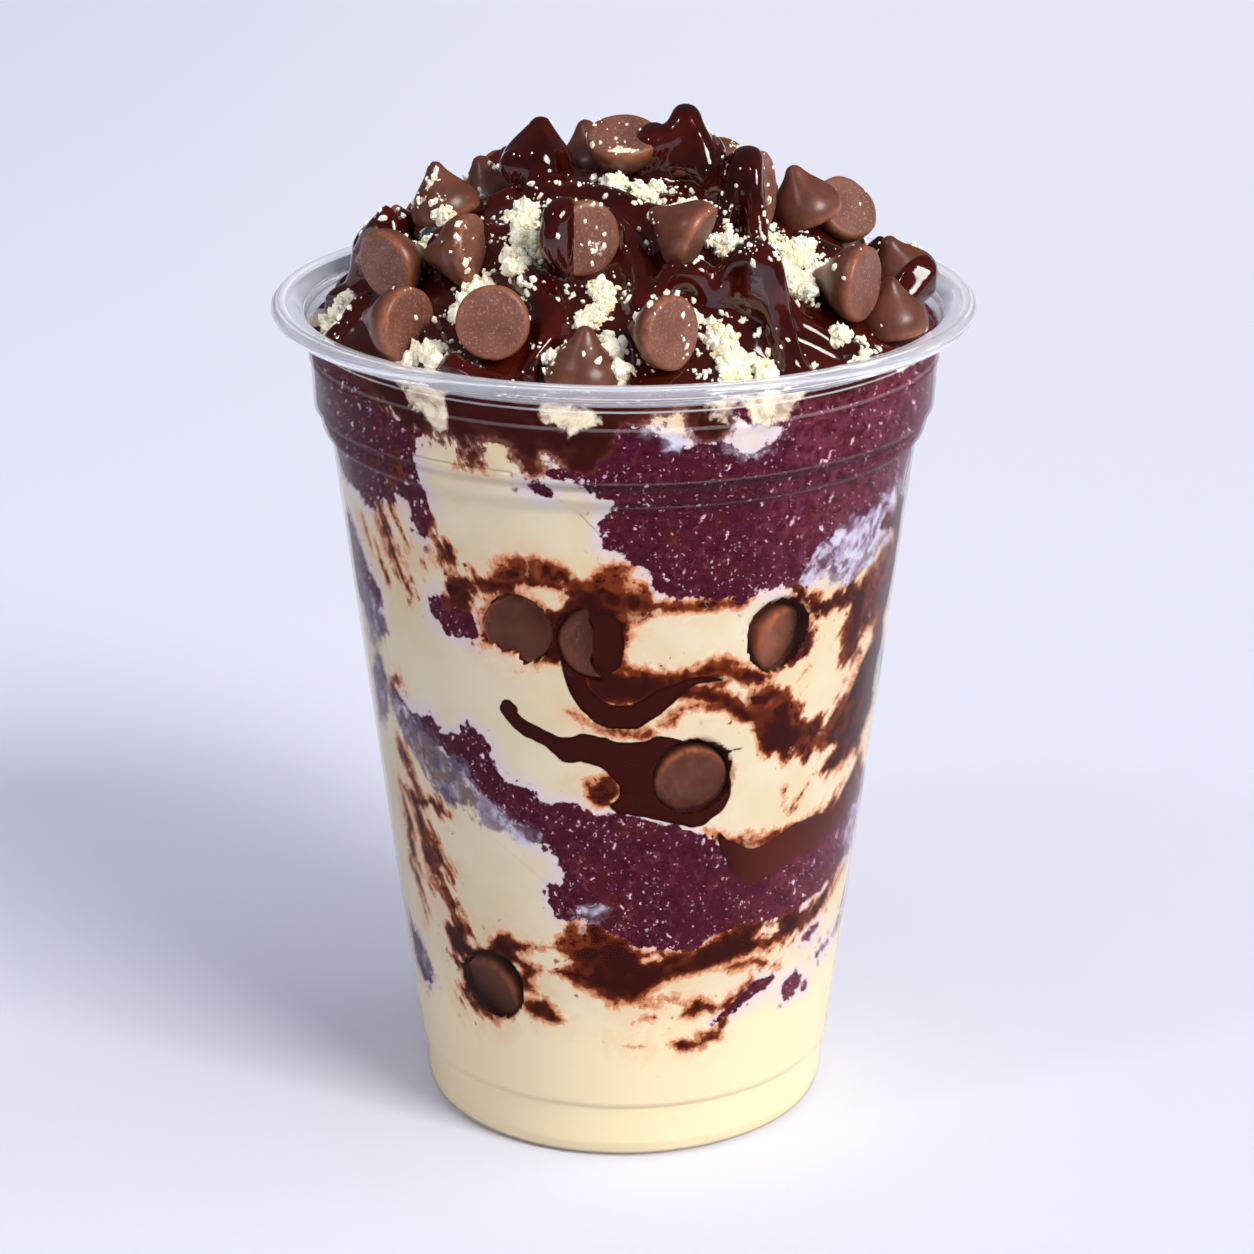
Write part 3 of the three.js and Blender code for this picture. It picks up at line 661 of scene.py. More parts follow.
PLASTIC = (0.98, 0.985, 1.0, 1.0)
PLASTIC_HAZE = (0.85, 0.86, 0.95, 1.0)
FLOOR_NEAR = (0.715, 0.725, 0.82, 1.0)
FLOOR_BACK = (0.82, 0.82, 0.88, 1.0)
FLOOR_CLOUD = (0.78, 0.785, 0.86, 1.0)
FLOOR_BACK_LEFT = (0.68, 0.7, 0.8, 1.0)
SKY = (0.43, 0.45, 0.54, 1.0)
SKY_MIRRORED = (0.08, 0.083, 0.095, 1.0)


def stretched(tree, place, direction, share):
    """A place squeezed along a direction, so that noise read there draws out into streaks."""
    axis = tuple(Vector(direction).normalized())
    along = vectors(tree, "DOT_PRODUCT", {0: place, 1: axis}, "Value")
    back = vectors(tree, "SCALE", {0: axis, "Scale": times(tree, along, share - 1)})
    return vectors(tree, "ADD", {0: place, 1: back})


def swirl_group():
    """The colours of cream, acai, milk and sauces against the wall. Each field is how deep a
    point lies inside that part, in millimetres, and noise makes the edges ragged."""
    tree, given, out = new_group(
        "swirls at the wall",
        [("Place", "NodeSocketVector")] + [(name, "NodeSocketFloat") for name in SWIRL_FIELDS],
        [("Colour", "NodeSocketColor"), ("Roughness", "NodeSocketFloat"),
         ("Height", "NodeSocketFloat")])
    place = given.outputs["Place"]
    broad = noise(tree, place, 90, 3)
    middle = noise(tree, place, 260, 4, 0.6, 1.2)
    fine = noise(tree, place, 620, 6, 0.7)
    gritty = noise(tree, place, 1500, 3, 0.6)
    edge = maths(tree, "SUBTRACT", fine, 0.5)
    lobes = maths(tree, "SUBTRACT", noise(tree, place, 330, 3, 0.6), 0.5)
    side, height = part_of(tree, place, "X"), part_of(tree, place, "Z")
    to_right = ramp(tree, side, 14 * MM, 26 * MM)
    to_left = ramp(tree, side, -14 * MM, -24 * MM)
    rising = noise(tree, stretched(tree, place, (0.30, 0.63, 0.71), 0.14), 700, 4, 0.65)
    falling = noise(tree, stretched(tree, place, (0.26, -0.37, -0.89), 0.14), 700, 4, 0.65)
    streaks = plus(tree, times(tree, maths(tree, "SUBTRACT", rising, 0.5), to_right),
                   times(tree, maths(tree, "SUBTRACT", falling, 0.5), to_left))
    sideways = put(tree, "ShaderNodeTexNoise", {"Vector": place, "Scale": 1800.0, "Detail": 1.0})
    edge_bend = wobble(tree, sideways.outputs["Color"], 0.9 * MM)

    def mask(name, softness, raggedness, shift=0.0, streaky=0.0):
        """1 where a field is deeper than shift, with an edge as soft and as ragged as asked."""
        uneven = plus(tree, times(tree, edge, raggedness * 3), times(tree, lobes, raggedness * 3))
        depth = plus(tree, given.outputs[name], uneven, times(tree, streaks, streaky))
        return ramp(tree, depth, shift - softness, shift + softness)

    def dots(scale, size, share, where=place):
        """Specks of uneven sizes, in so large a share of the cells of a lattice."""
        cells = put(tree, "ShaderNodeTexVoronoi", {
            "Vector": vectors(tree, "ADD", {0: edge_bend, 1: where}), "Scale": scale}, feature="F1")
        chance = put(tree, "ShaderNodeSeparateColor", {0: cells.outputs["Color"]}).outputs["Red"]
        reach = ramp(tree, chance, 1 - share, 1.0, 0.0, size)
        made = put(tree, "ShaderNodeMapRange", {
            "Value": cells.outputs["Distance"], "From Min": reach,
            "From Max": times(tree, reach, 0.6), "To Min": 0.0, "To Max": 1.0})
        return made.outputs["Result"]

    bleed = times(tree, mask("acai", 1.4, 1.0, -1.4, 3), 0.7)
    flush = times(tree, mask("stain", 2.0, 1.0, -1.8, 6), ramp(tree, middle, 0.35, 0.6),
                  ramp(tree, side, 8 * MM, 20 * MM, 0.28, 0.1))
    ground = painted(
        tree, CREAM,
        (ramp(tree, broad, 0.35, 0.65), CREAM_DEEP),
        (ramp(tree, height, 30 * MM, 18 * MM), CREAM_LOW),
        (times(tree, dots(420.0, 0.16, 0.3), 0.35), CREAM_DEEP),
        (bleed, CREAM_THIN),
        (flush, STAIN_LIGHT))

    at_brim = ramp(tree, height, 104 * MM, 109 * MM)
    stain = painted(tree, STAIN_LIGHT, (mask("stain", 0.7, 0.9, 0.6, 5), STAIN), (at_brim, STAIN_BRIM))
    thin_syrup = mix_colour(tree, at_brim, SYRUP_THIN, SYRUP_BRIM)
    outer = times(tree, mask("stain", 0.3, 1.2, 0.0, 9), ramp(tree, middle, 0.30, 0.44, 0.45, 1))
    inner = times(tree, mask("stain", 0.25, 1.3, 0.8, 9), ramp(tree, middle, 0.38, 0.5, 0.1, 1))
    heart = times(tree, mask("stain", 0.3, 1.3, 1.6, 9), ramp(tree, fine, 0.42, 0.55))
    ground = painted(tree, ground, (outer, stain), (inner, thin_syrup), (heart, SYRUP))

    brown = times(tree, ramp(tree, noise(tree, place, 200, 3), 0.5, 0.66), 0.65)
    pale = times(tree, ramp(tree, middle, 0.40, 0.66), ramp(tree, gritty, 0.48, 0.62), 0.5)
    acai = painted(
        tree, ACAI_DARK,
        (ramp(tree, noise(tree, place, 1000, 4, 0.75), 0.36, 0.62), ACAI),
        (brown, ACAI_BROWN),
        (pale, ACAI_PALE_AND_LIT),
        # Towards the right side the acai is painted paler: painted light where the key lamp falls.
        (times(tree, to_right, ramp(tree, fine, 0.4, 0.6), 0.45), ACAI_PALE_AND_LIT))
    near_acai = times(tree, mask("acai", 1.6, 0.4, -1.9), ramp(tree, middle, 0.40, 0.50))
    ground = painted(tree, ground, (times(tree, dots(640.0, 0.42, 0.6), near_acai), ACAI),
                     (mask("acai", 0.14, 0.95, 0.0, 3), acai))
    in_acai = mask("acai", 0.3, 0.5, 0.3)
    upright = stretched(tree, place, (0.35, 0.2, 0.92), 0.4)
    lying = stretched(tree, place, (0.7, 0.5, -0.5), 0.4)
    ice_kinds = [(1150.0, 0.34, 0.3, 0.75, upright), (950.0, 0.32, 0.22, 0.85, lying),
                 (1900.0, 0.42, 0.4, 0.45, place)]
    for scale, size, share, strength, where in ice_kinds:
        flecks = times(tree, dots(scale, size, share, where), in_acai,
                       ramp(tree, middle, 0.34, 0.5), strength)
        ground = mix_colour(tree, flecks, ground, ICE)

    clouds = noise(tree, place, 420, 4, 0.6)
    milk = painted(tree, MILKY_DARK, (ramp(tree, clouds, 0.3, 0.6), MILKY),
                   (times(tree, to_left, ramp(tree, clouds, 0.8, 0.46)), MILKY_SLATE))
    under_milk = times(tree, mask("milky", 0.7, 1.4, 0.5, 5),
                       ramp(tree, height, 108 * MM, 100 * MM), 0.8)
    patchy = ramp(tree, plus(tree, middle, times(tree, streaks, 0.8)), 0.42, 0.58, 0.15, 0.95)
    ground = painted(tree, ground, (under_milk, ACAI),
                     (times(tree, mask("milky", 0.9, 1.5, 0.0, 7), patchy), milk))

    near_syrup = times(tree, mask("syrup", 1.4, 0.4, -2.2), ramp(tree, fine, 0.44, 0.52))
    clotted = times(tree, mask("syrup", 0.5, 1.2, 0.5, 4), ramp(tree, middle, 0.34, 0.5, 0.45, 1.0))
    syrup = mix_colour(tree, clotted, thin_syrup, SYRUP)
    ground = painted(tree, ground, (times(tree, dots(760.0, 0.38, 0.45), near_syrup), SYRUP_THIN),
                     (mask("syrup", 0.14, 0.9, 0.1, 7), syrup))

    lit = times(tree, ramp(tree, side, 12 * MM, 20 * MM), ramp(tree, height, 60 * MM, 54 * MM))
    sauce = painted(tree, SAUCE_EDGE, (mask("sauce", 0.14, 0.2, 0.32), SAUCE),
                    (times(tree, ramp(tree, broad, 0.52, 0.62), 0.35), SAUCE_EDGE), (lit, SAUCE_LIT))
    sauce_share = mask("sauce", 0.08, 0.16)
    powder = mix_colour(tree, ramp(tree, middle, 0.36, 0.6), POWDER_SHADE, POWDER_WALL)
    powder_share = times(tree, mask("powder", 0.5, 1.4), ramp(tree, fine, 0.3, 0.44, 0.45, 1.0))
    ground = painted(tree, ground, (sauce_share, sauce), (powder_share, powder))

    bare = maths(tree, "SUBTRACT", 1.0, mask("syrup", 0.3, 0.0, 0.0))
    feed(tree, out, {
        "Colour": ground,
        "Roughness": maths(tree, "SUBTRACT", 0.5, times(tree, sauce_share, 0.2)),
        "Height": plus(tree, sauce_share, times(tree, in_acai, bare, gritty, 0.3))})
    return tree


def chocolate_group():
    """Milk chocolate, duller and bloomed at its moulded base, worn round the edge of the base, with
    powder on it, and darkened by painted shade behind the wall."""
    tree, given, out = new_group(
        "worn milk chocolate",
        [("Place", "NodeSocketVector")] + [(name, "NodeSocketFloat") for name in CHIP_FIELDS],
        [("Colour", "NodeSocketColor"), ("Roughness", "NodeSocketFloat"),
         ("Height", "NodeSocketFloat")])
    place = given.outputs["Place"]
    on_base = given.outputs["base_face"]
    broad = ramp(tree, noise(tree, place, 300, 3), 0.35, 0.65)
    bloom = times(tree, ramp(tree, noise(tree, place, 3000, 3, 0.7), 0.55, 0.68), on_base, 0.45)
    dust = plus(tree, given.outputs["dust"], noise(tree, place, 1900, 4, 0.7))
    worn = ramp(tree, noise(tree, place, 900, 4, 0.7), 0.35, 0.6, 0.25, 0.8)
    body = painted(
        tree, mix_colour(tree, broad, CHIP_FLANK, CHIP_FLANK_LIGHT),
        (on_base, mix_colour(tree, broad, CHIP_BASE, CHIP_BASE_LIGHT)),
        (bloom, CHIP_BLOOM),
        (ramp(tree, dust, 1.12, 1.3), CHIP_DUST),
        # Chips behind the wall are darkened by painted shade.
        (times(tree, given.outputs["behind_wall"], 0.8), CHIP_PAINTED_SHADE),
        (times(tree, given.outputs["base_edge"], worn), CHIP_WORN))
    feed(tree, out, {"Colour": body, "Roughness": plus(tree, 0.34, times(tree, on_base, 0.2)),
                     "Height": noise(tree, place, 1500, 4, 0.6)})
    return tree


def powder_group():
    """Dry milk powder, with patches of painted shade: noise mixes it from the shade of its hollows
    to the colour of its lumps.
    """
    tree, given, out = new_group(
        "dry milk powder",
        [("Place", "NodeSocketVector"), ("Shade", "NodeSocketColor"), ("Light", "NodeSocketColor")],
        [("Colour", "NodeSocketColor"), ("Height", "NodeSocketFloat")])
    place = given.outputs["Place"]
    tone = ramp(tree, noise(tree, place, 420, 4), 0.35, 0.7)
    feed(tree, out, {"Colour": mix_colour(tree, tone, given.outputs["Shade"], given.outputs["Light"]),
                     "Height": noise(tree, place, 2400, 4, 0.7)})
    return tree


def waves_group():
    """The faint waves of thin plastic."""
    tree, given, out = new_group("waves of thin plastic", [("Place", "NodeSocketVector")],
                                 [("Height", "NodeSocketFloat")])
    feed(tree, out, {"Height": noise(tree, given.outputs["Place"], 60, 2)})
    return tree


def fielded_finish(name, group, fields, shine, relief, relief_depth):
    """A material that a group makes from the place and the fields of its piece."""
    material, tree, shader = new_material(name)
    made = put(tree, "ShaderNodeGroup", {}, node_tree=group)
    feed(tree, made, {"Place": object_place(tree), **{field: attribute(tree, field) for field in fields}})
    feed(tree, shader, {"Base Color": made.outputs["Colour"], "Roughness": made.outputs["Roughness"],
                        "Normal": bump(tree, made.outputs["Height"], relief, relief_depth),
                        "Specular IOR Level": shine})
    return material


def filling_finish(name, swirls, shine):
    """What fills the cup, as it looks against the wall, where little light is mirrored."""
    return fielded_finish(name, swirls, SWIRL_FIELDS, shine, 0.2, 0.2)


def chip_finish(name, chocolate, shine):
    """A chip. Behind the wall it mirrors little."""
    return fielded_finish(name, chocolate, CHIP_FIELDS, shine, 0.18, 0.15)


def sauce_finish():
    material, tree, shader = new_material("thick chocolate sauce")
    place = object_place(tree)
    tone = ramp(tree, noise(tree, place, 160, 3), 0.35, 0.65)
    thin = ramp(tree, attribute(tree, "thickness"), 0.9, 0.1)
    body = painted(tree, THICK_SAUCE, (tone, THICK_SAUCE_LIGHT), (times(tree, thin, 0.4), THIN_SAUCE))
    feed(tree, shader, {"Base Color": body, "Roughness": 0.1, "Specular IOR Level": 0.5,
                        "Coat Weight": 0.3, "Coat Roughness": 0.03,
                        "Normal": bump(tree, noise(tree, place, 350, 2), 0.12, 0.4)})
    return material


def powder_finish(name, powder, shade, light):
    material, tree, shader = new_material(name)
    made = put(tree, "ShaderNodeGroup", {}, node_tree=powder)
    feed(tree, made, {"Place": object_place(tree), "Shade": shade, "Light": light})
    feed(tree, shader, {"Base Color": made.outputs["Colour"], "Roughness": 0.85,
                        "Specular IOR Level": 0.2,
                        "Normal": bump(tree, made.outputs["Height"], 0.6, 0.2)})
    return material


def plastic_finish(name, waves, bend, haze_share, clear_share, creases=()):
    """Thin clear plastic. Light passes straight through it to what it holds. bend is its index of
    refraction, haze_share how cloudy it is, and clear_share how much of it neither bends nor
    mirrors. Creases are rings of painted highlight and painted shade: (height, half of the width,
    strength, shade)."""
    material, tree, shader = new_material(name)
    place = object_place(tree)
    rippled = put(tree, "ShaderNodeGroup", {}, node_tree=waves)
    feed(tree, rippled, {"Place": place})
    feed(tree, shader, {"Base Color": PLASTIC, "Roughness": 0.03, "IOR": bend,
                        "Transmission Weight": 1.0,
                        "Normal": bump(tree, rippled.outputs["Height"], 0.05, 0.4)})
    height = part_of(tree, place, "Z")
    faint = ramp(tree, noise(tree, place, 30, 2), 0.35, 0.6, 0.25, 1.0)
    share, tone = haze_share, PLASTIC_HAZE
    # Each crease paints a ring into the haze: a painted highlight where its shade is pale, painted shade
    # where it is dark.
    for level, half, strength, shade in creases:
        apart = maths(tree, "ABSOLUTE", maths(tree, "SUBTRACT", height, level * MM))
        crease = times(tree, ramp(tree, apart, half * MM, 0.3 * half * MM, 0.0, strength), faint)
        share = maths(tree, "MAXIMUM", share, crease)
        tone = mix_colour(tree, maths(tree, "GREATER_THAN", crease, 0.02), tone,
                          (shade, shade, shade, 1))
    clear = put(tree, "ShaderNodeBsdfTransparent").outputs["BSDF"]
    haze_and_painted_creases = put(tree, "ShaderNodeBsdfDiffuse", {"Color": tone}).outputs["BSDF"]
    in_shadow = put(tree, "ShaderNodeLightPath").outputs["Is Shadow Ray"]
    surface = shader.outputs["BSDF"]
    for part, other in ((clear_share, clear), (share, haze_and_painted_creases), (in_shadow, clear)):
        mixed = put(tree, "ShaderNodeMixShader", {0: part, 1: surface, 2: other})
        surface = mixed.outputs["Shader"]
    feed(tree, tree.nodes["Material Output"], {"Surface": surface})
    return material


# ------------------------------------------------------------------ chips

def chip_place(node):
    """Where a chip of the frame sits: the middle of its base, its direction to the tip, its size."""
    points = vertices_of(node)
    normals = np.array([face.normal for face in node.data.polygons])
    areas = np.array([face.area for face in node.data.polygons])
    alike = (normals @ normals.T > 0.999) @ areas
    axis = -normals[alike.argmax()]
    along = points @ axis
    base_points = np.unique(points[along < along.min() + 0.02].round(3), axis=0)
    size = (along.max() - along.min()) / CHIP_HEIGHT
    return base_points.mean(axis=0), axis, size


def chip_tree():
    """Geometry nodes for one moulded chip, standing on its base at the origin."""
    sizes = ("Radius", "Height", "Tip Lean", "Unevenness", "Seed")
    tree, given, out = new_group(
        "moulded chip",
        [(name, "NodeSocketFloat") for name in sizes] + [("Chocolate", "NodeSocketMaterial")],
        [("Geometry", "NodeSocketGeometry")], "GeometryNodeTree")
    sides, rings = 40, 30
    grid = put(tree, "GeometryNodeMeshGrid", {"Size X": 1.0, "Size Y": 1.0, "Vertices X": sides + 1,
                                              "Vertices Y": rings + 1})
    where = put(tree, "GeometryNodeInputPosition").outputs[0]
    angle = times(tree, plus(tree, part_of(tree, where, "X"), 0.5), 2 * math.pi)
    up_share = plus(tree, part_of(tree, where, "Y"), 0.5)
    lengths = np.cumsum([0] + [math.dist(a, b) for a, b in zip(CHIP_OUTLINE, CHIP_OUTLINE[1:])])

    def outline_curve(part):
        made = put(tree, "ShaderNodeFloatCurve", {"Value": up_share})
        line = made.mapping.curves[0]
        marks = [(length / lengths[-1], point[part]) for length, point in zip(lengths, CHIP_OUTLINE)]
        line.points[0].location, line.points[-1].location = marks[0], marks[-1]
        for mark in marks[1:-1]:
            line.points.new(*mark)
        made.mapping.update()
        return made.outputs[0]

    reach = times(tree, outline_curve(0), given.outputs["Radius"])
    height_share = outline_curve(1)
    lean = times(tree, maths(tree, "POWER", height_share, 2.5), given.outputs["Tip Lean"])
    place = put(tree, "ShaderNodeCombineXYZ", {
        "X": plus(tree, times(tree, reach, maths(tree, "COSINE", angle)), lean),
        "Y": times(tree, reach, maths(tree, "SINE", angle)),
        "Z": times(tree, height_share, given.outputs["Height"])}).outputs[0]
    dents = put(tree, "ShaderNodeTexNoise", {
        "W": given.outputs["Seed"], "Scale": 170.0, "Detail": 2.0}, noise_dimensions="4D")
    dented = wobble(tree, dents.outputs["Color"], given.outputs["Unevenness"])
    steps = [("GeometryNodeSetPosition", {"Position": place}),
             ("GeometryNodeMergeByDistance", {"Distance": 0.02 * MM}),
             ("GeometryNodeSetPosition", {"Offset": dented}),
             ("GeometryNodeSetShadeSmooth", {}),
             ("GeometryNodeRealizeInstances", {}),
             ("GeometryNodeSetMaterial", {"Material": given.outputs["Chocolate"]})]
    shape = grid.outputs["Mesh"]
    for kind, inputs in steps:
        shape = put(tree, kind, {"Geometry": shape, **inputs}).outputs[0]
    feed(tree, out, {"Geometry": shape})
    return tree


def run_tree(obj, tree, values):
    """Puts a geometry tree on an object with its inputs, and makes what it gives the object's
    mesh."""
    modifier = obj.modifiers.new("shape", "NODES")
    modifier.node_group = tree
    for item in tree.interface.items_tree:
        if item.in_out == "INPUT" and item.name in values:
            modifier[item.identifier] = values[item.name]
    bpy.context.view_layer.update()
    return apply_modifiers(obj)


def make_chip(name, tree, chocolate, place, number, reach_out=0.0, painted_shade=0.0):
    """A chip over its place in the frame. reach_out carries its base on towards the wall, and the
    last argument is how much painted shade darkens it behind the wall."""
    base, axis, size = place
    rng = np.random.default_rng(number)
    piece = new_mesh_object(name, [(0, 0, 0)], [])
    run_tree(piece, tree, {
        "Radius": CHIP_RADIUS * size * MM, "Height": (CHIP_HEIGHT * size + reach_out) * MM,
        "Tip Lean": float(rng.uniform(-0.5, 0.5)) * MM,
        "Unevenness": float(rng.uniform(0.3, 0.8)) * MM,
        "Seed": float(rng.uniform(0, 100)), "Chocolate": chocolate})
    face_outwards(piece)
    local = vertices_of(piece)
    radius = np.linalg.norm(local[:, :2], axis=1) / (CHIP_RADIUS * size)
    height = local[:, 2]
    set_attribute(piece, "base_face", smoothstep(0.5, 0.2, height) * smoothstep(0.97, 0.9, radius))
    set_attribute(piece, "base_edge", smoothstep(0.88, 0.95, radius) * smoothstep(1.6, 0.4, height))
    # The painted shade of a chip behind the wall.
    set_attribute(piece, "behind_wall", np.full(len(local), painted_shade))
    turn = Vector((0, 0, 1)).rotation_difference(Vector(axis)).to_matrix()
    spin = Matrix.Rotation(float(rng.uniform(0, 2 * math.pi)), 3, "Z")
    start = Vector(base - axis * reach_out) * MM
    piece.data.transform(Matrix.Translation(start) @ (turn @ spin).to_4x4())
    piece.data.update()
    return piece


# ------------------------------------------------------------------ the filling

def side_radius(height):
    """The outside radius of the cup's wall at a height."""
    radii, heights = np.array(CUP_SIDE).T
    return np.interp(height, heights, radii)


LAP = 0.15                     # of one layer of the filling over the next
TUCK = 0.12                    # of the acai layers' edges in under their neighbours
FOOT_GAP = 0.6                 # under the filling in the foot ring
CUP_FLOOR = 1.8                # top of the raised floor, with a little room
SKIN_COLUMNS = 480             # of a layer's skin round the wall
SKIN_CELL = 0.5                # the height of its rows
CAP_SHARES = (0.9, 0.86, 0.5)  # of the radius, where the rings of a layer's two ends lie
POCKET_DEPTH = 9               # how far the filling draws back before a chip


def filling_radius(height):
    """Just inside the thickness of the wall, so that no air shows between."""
    return side_radius(height) - WALL + 0.1


def mirrored_to_front(turn):
    """The turn whose swirls a point shows: its own in front, the mirrored one behind."""
    turn = wrapped(turn)
    behind = np.abs(turn) > FRONT_LIMIT
    return np.where(behind, np.sign(turn) * 180 - turn, turn)


def deepest(flat, outlines, ribbons=()):
    """How deep points of the flattened wall lie inside the nearest of some shapes."""
    depth = np.full(len(flat), -9.0)
    margin = 5.0

    def near(path, extra):
        low, high = path.min(axis=0) - extra, path.max(axis=0) + extra
        return ((flat > low) & (flat < high)).all(axis=1)

    for outline in outlines:
        path = curved(np.array(outline) * (TURN_WIDTH, 1), 4, True)
        close = near(path, margin)
        depth[close] = np.maximum(depth[close], depth_in_outline(flat[close], path))
    for *points, width in ribbons:
        path = curved(np.array(points) * (TURN_WIDTH, 1), 4)
        close = near(path, margin + width / 2)
        apart, along = distance_to_path(flat[close], path)
        taper = 0.6 + 0.4 * np.sin(np.pi * np.clip(along, 0.02, 0.98))
        depth[close] = np.maximum(depth[close], width / 2 * taper - apart)
    return depth


def on_flat_wall(turn, height):
    """Points of the wall as they lie in the flattened swirls, shifted a little by noise."""
    around = np.column_stack([heading(turn) * side_radius(height)[:, None], height])
    behind = smoothstep(75, 130, np.abs(wrapped(turn)))
    sway = grain(around, 14, 3, 2) * (0.4 + 5.5 * behind) + 0.45 * grain(around, 3, 4, 2)
    lift = grain(around, 11, 5, 2) * (0.3 + 4.0 * behind) + 0.45 * grain(around, 2.6, 6, 2)
    return np.column_stack([mirrored_to_front(turn) * TURN_WIDTH + sway, height + lift])


def swirl_fields(turn, height, wall_chips):
    """Depths inside each part of the swirls at points of the wall, in millimetres."""
    flat = on_flat_wall(turn, height)
    holes = -deepest(flat, CREAM_HOLES) - 0.2
    acai = deepest(flat, ACAI_MASSES, ACAI_RIBBONS)
    milky = deepest(flat, MILKY_PATCHES)
    stain = np.minimum(deepest(flat, STAIN_POOLS, STAIN_RIBBONS), holes + 0.5)
    syrup = np.minimum(deepest(flat, SYRUP_POOLS, SYRUP_RIBBONS), holes)
    sauce = np.minimum(deepest(flat, SAUCE_POOLS), holes)
    around = np.column_stack([heading(turn) * side_radius(height)[:, None], height])
    for base, axis, size in wall_chips:
        apart = np.linalg.norm(around - base, axis=1)
        ring = CHIP_RADIUS * size + 0.3 + 0.8 * grain(around, 4, 9) - apart
        syrup = np.maximum(syrup, ring)
    syrup = np.minimum(syrup, holes + 0.3)
    stain = np.maximum(stain, np.minimum(syrup + 0.7, holes + 0.5))
    return {"acai": acai, "milky": milky, "stain": stain, "syrup": syrup, "sauce": sauce,
            "powder": deepest(flat, POWDER_PATCHES)}


def wall_edges(node):
    """The lowest and highest point of a layer against the wall, every so many degrees."""
    step = 10
    points = vertices_of(node)
    at_wall = np.linalg.norm(points[:, :2], axis=1) > side_radius(points[:, 2]) - WALL - 0.6
    edges = []
    for mark in range(-180, 181, step):
        near = at_wall & (np.abs(wrapped(turn_of(points) - mark)) < 0.5)
        edges.append((mark, points[near, 2].min(), points[near, 2].max()))
    return np.array(edges)


def pocket_shift(points, turn, wall_chips):
    """How the filling draws back from the wall to bare the chips in it. Before a tilted chip at
    the front it draws straight back, so that both its base and its flank show."""
    shift = np.zeros_like(points)
    covered = deepest(on_flat_wall(turn, points[:, 2]), CHIP_COVERS)
    bare = smoothstep(0.15, -0.15, covered)
    for base, axis, size in wall_chips:
        inward = -base * (1, 1, 0) / np.linalg.norm(base[:2])
        steps = [(0, 0.97)]
        if inward @ axis < 0.97 and base[1] < 0:
            inward = np.array([-0.24 * np.sign(base[0]), 0.92, -0.31])
            steps += [(1.6, 0.94), (3.0, 0.8), (4.2, 0.6)]
        near = np.linalg.norm(points - base, axis=1) < 13
        apart = points[near] - base
        here = np.zeros(near.sum())
        for along, share in steps:
            level = apart - along * axis
            depth = np.clip(-(level @ axis) / (inward @ axis), 0, None)
            apart_there = np.linalg.norm(level + depth[:, None] * inward, axis=1)
            inside = smoothstep(0.6, 0.0, apart_there - CHIP_RADIUS * size * share)
            here = np.maximum(here, inside * np.minimum(depth + 0.4, POCKET_DEPTH))
        here *= bare[near]
        deeper = here > np.linalg.norm(shift[near], axis=1)
        shift[near] = np.where(deeper[:, None], here[:, None] * inward, shift[near])
    return shift


def layer_end(turns, edge, foot):
    """The rings that close a layer at one end, from near the wall inwards."""
    rings = []
    for share in CAP_SHARES:
        level = edge.mean() + (edge - edge.mean()) * share
        if foot and share < CAP_SHARES[0]:
            level = np.full(len(turns), CUP_FLOOR)
        across = heading(turns) * (filling_radius(edge) * share)[:, None]
        rings.append(np.column_stack([across, level]))
    return rings


def make_filling(name, node, material, wall_chips, foot=False, tucked=False):
    """A layer of the filling: a fine skin at the wall, closed over its top and its bottom. It laps
    a little over its neighbours, or tucks its edges in under them."""
    edges = wall_edges(node)
    turns = np.arange(SKIN_COLUMNS) * 360 / SKIN_COLUMNS - 180
    lap = LAP * 3 if tucked else LAP
    low = np.interp(turns, edges[:, 0], edges[:, 1]) - lap
    high = np.interp(turns, edges[:, 0], edges[:, 2]) + lap
    if foot:
        low[:] = FOOT_GAP
    rows = int(np.ceil((high - low).max() / SKIN_CELL)) + 1
    heights = low + (high - low) * np.linspace(0, 1, rows)[:, None]
    turn_grid = np.broadcast_to(turns, heights.shape)
    reach = filling_radius(heights)
    if tucked:
        reach[[0, -1]] -= TUCK
    skin = np.dstack([heading(turn_grid) * reach[..., None], heights]).reshape(-1, 3)
    shift = pocket_shift(skin, turn_grid.ravel(), wall_chips)
    low_caps, high_caps = layer_end(turns, low, foot), layer_end(turns, high, False)
    poles = [(0, 0, CUP_FLOOR if foot else low.mean()), (0, 0, high.mean())]
    points = np.vstack([skin + shift, *low_caps, *high_caps, poles])

    starts = np.arange(rows + 2 * len(CAP_SHARES)) * SKIN_COLUMNS
    rings = starts[:, None] + np.arange(SKIN_COLUMNS)
    skin_rings, low_rings, high_rings = np.split(rings, [rows, rows + len(CAP_SHARES)])
    faces = []
    for run in (skin_rings, [skin_rings[0], *low_rings], [skin_rings[-1], *high_rings]):
        for a, b in zip(run, run[1:]):
            faces += band(a, b)
    faces += fan(low_rings[-1], len(points) - 2) + fan(high_rings[-1], len(points) - 1)
    piece = new_mesh_object(name, points, faces)
    face_outwards(piece)
    piece.data.set_sharp_from_angle(angle=math.radians(50))

    fields = swirl_fields(turn_of(points), points[:, 2], wall_chips)
    # Pockets get the dark syrup colour: painted shade in the recess round each wall chip.
    in_pocket = np.zeros(len(points))
    in_pocket[:len(skin)] = smoothstep(0.9, 2.4, np.linalg.norm(shift, axis=1))
    syrup = fields["syrup"]
    pocket_shade = in_pocket * 8 - 0.6 + np.minimum(syrup, 0) * (1 - in_pocket)
    fields["syrup"] = np.maximum(syrup, pocket_shade)
    for field in SWIRL_FIELDS:
        set_attribute(piece, field, fields[field])
    piece.data.materials.append(material)
    return piece


# ------------------------------------------------------------------ the cup

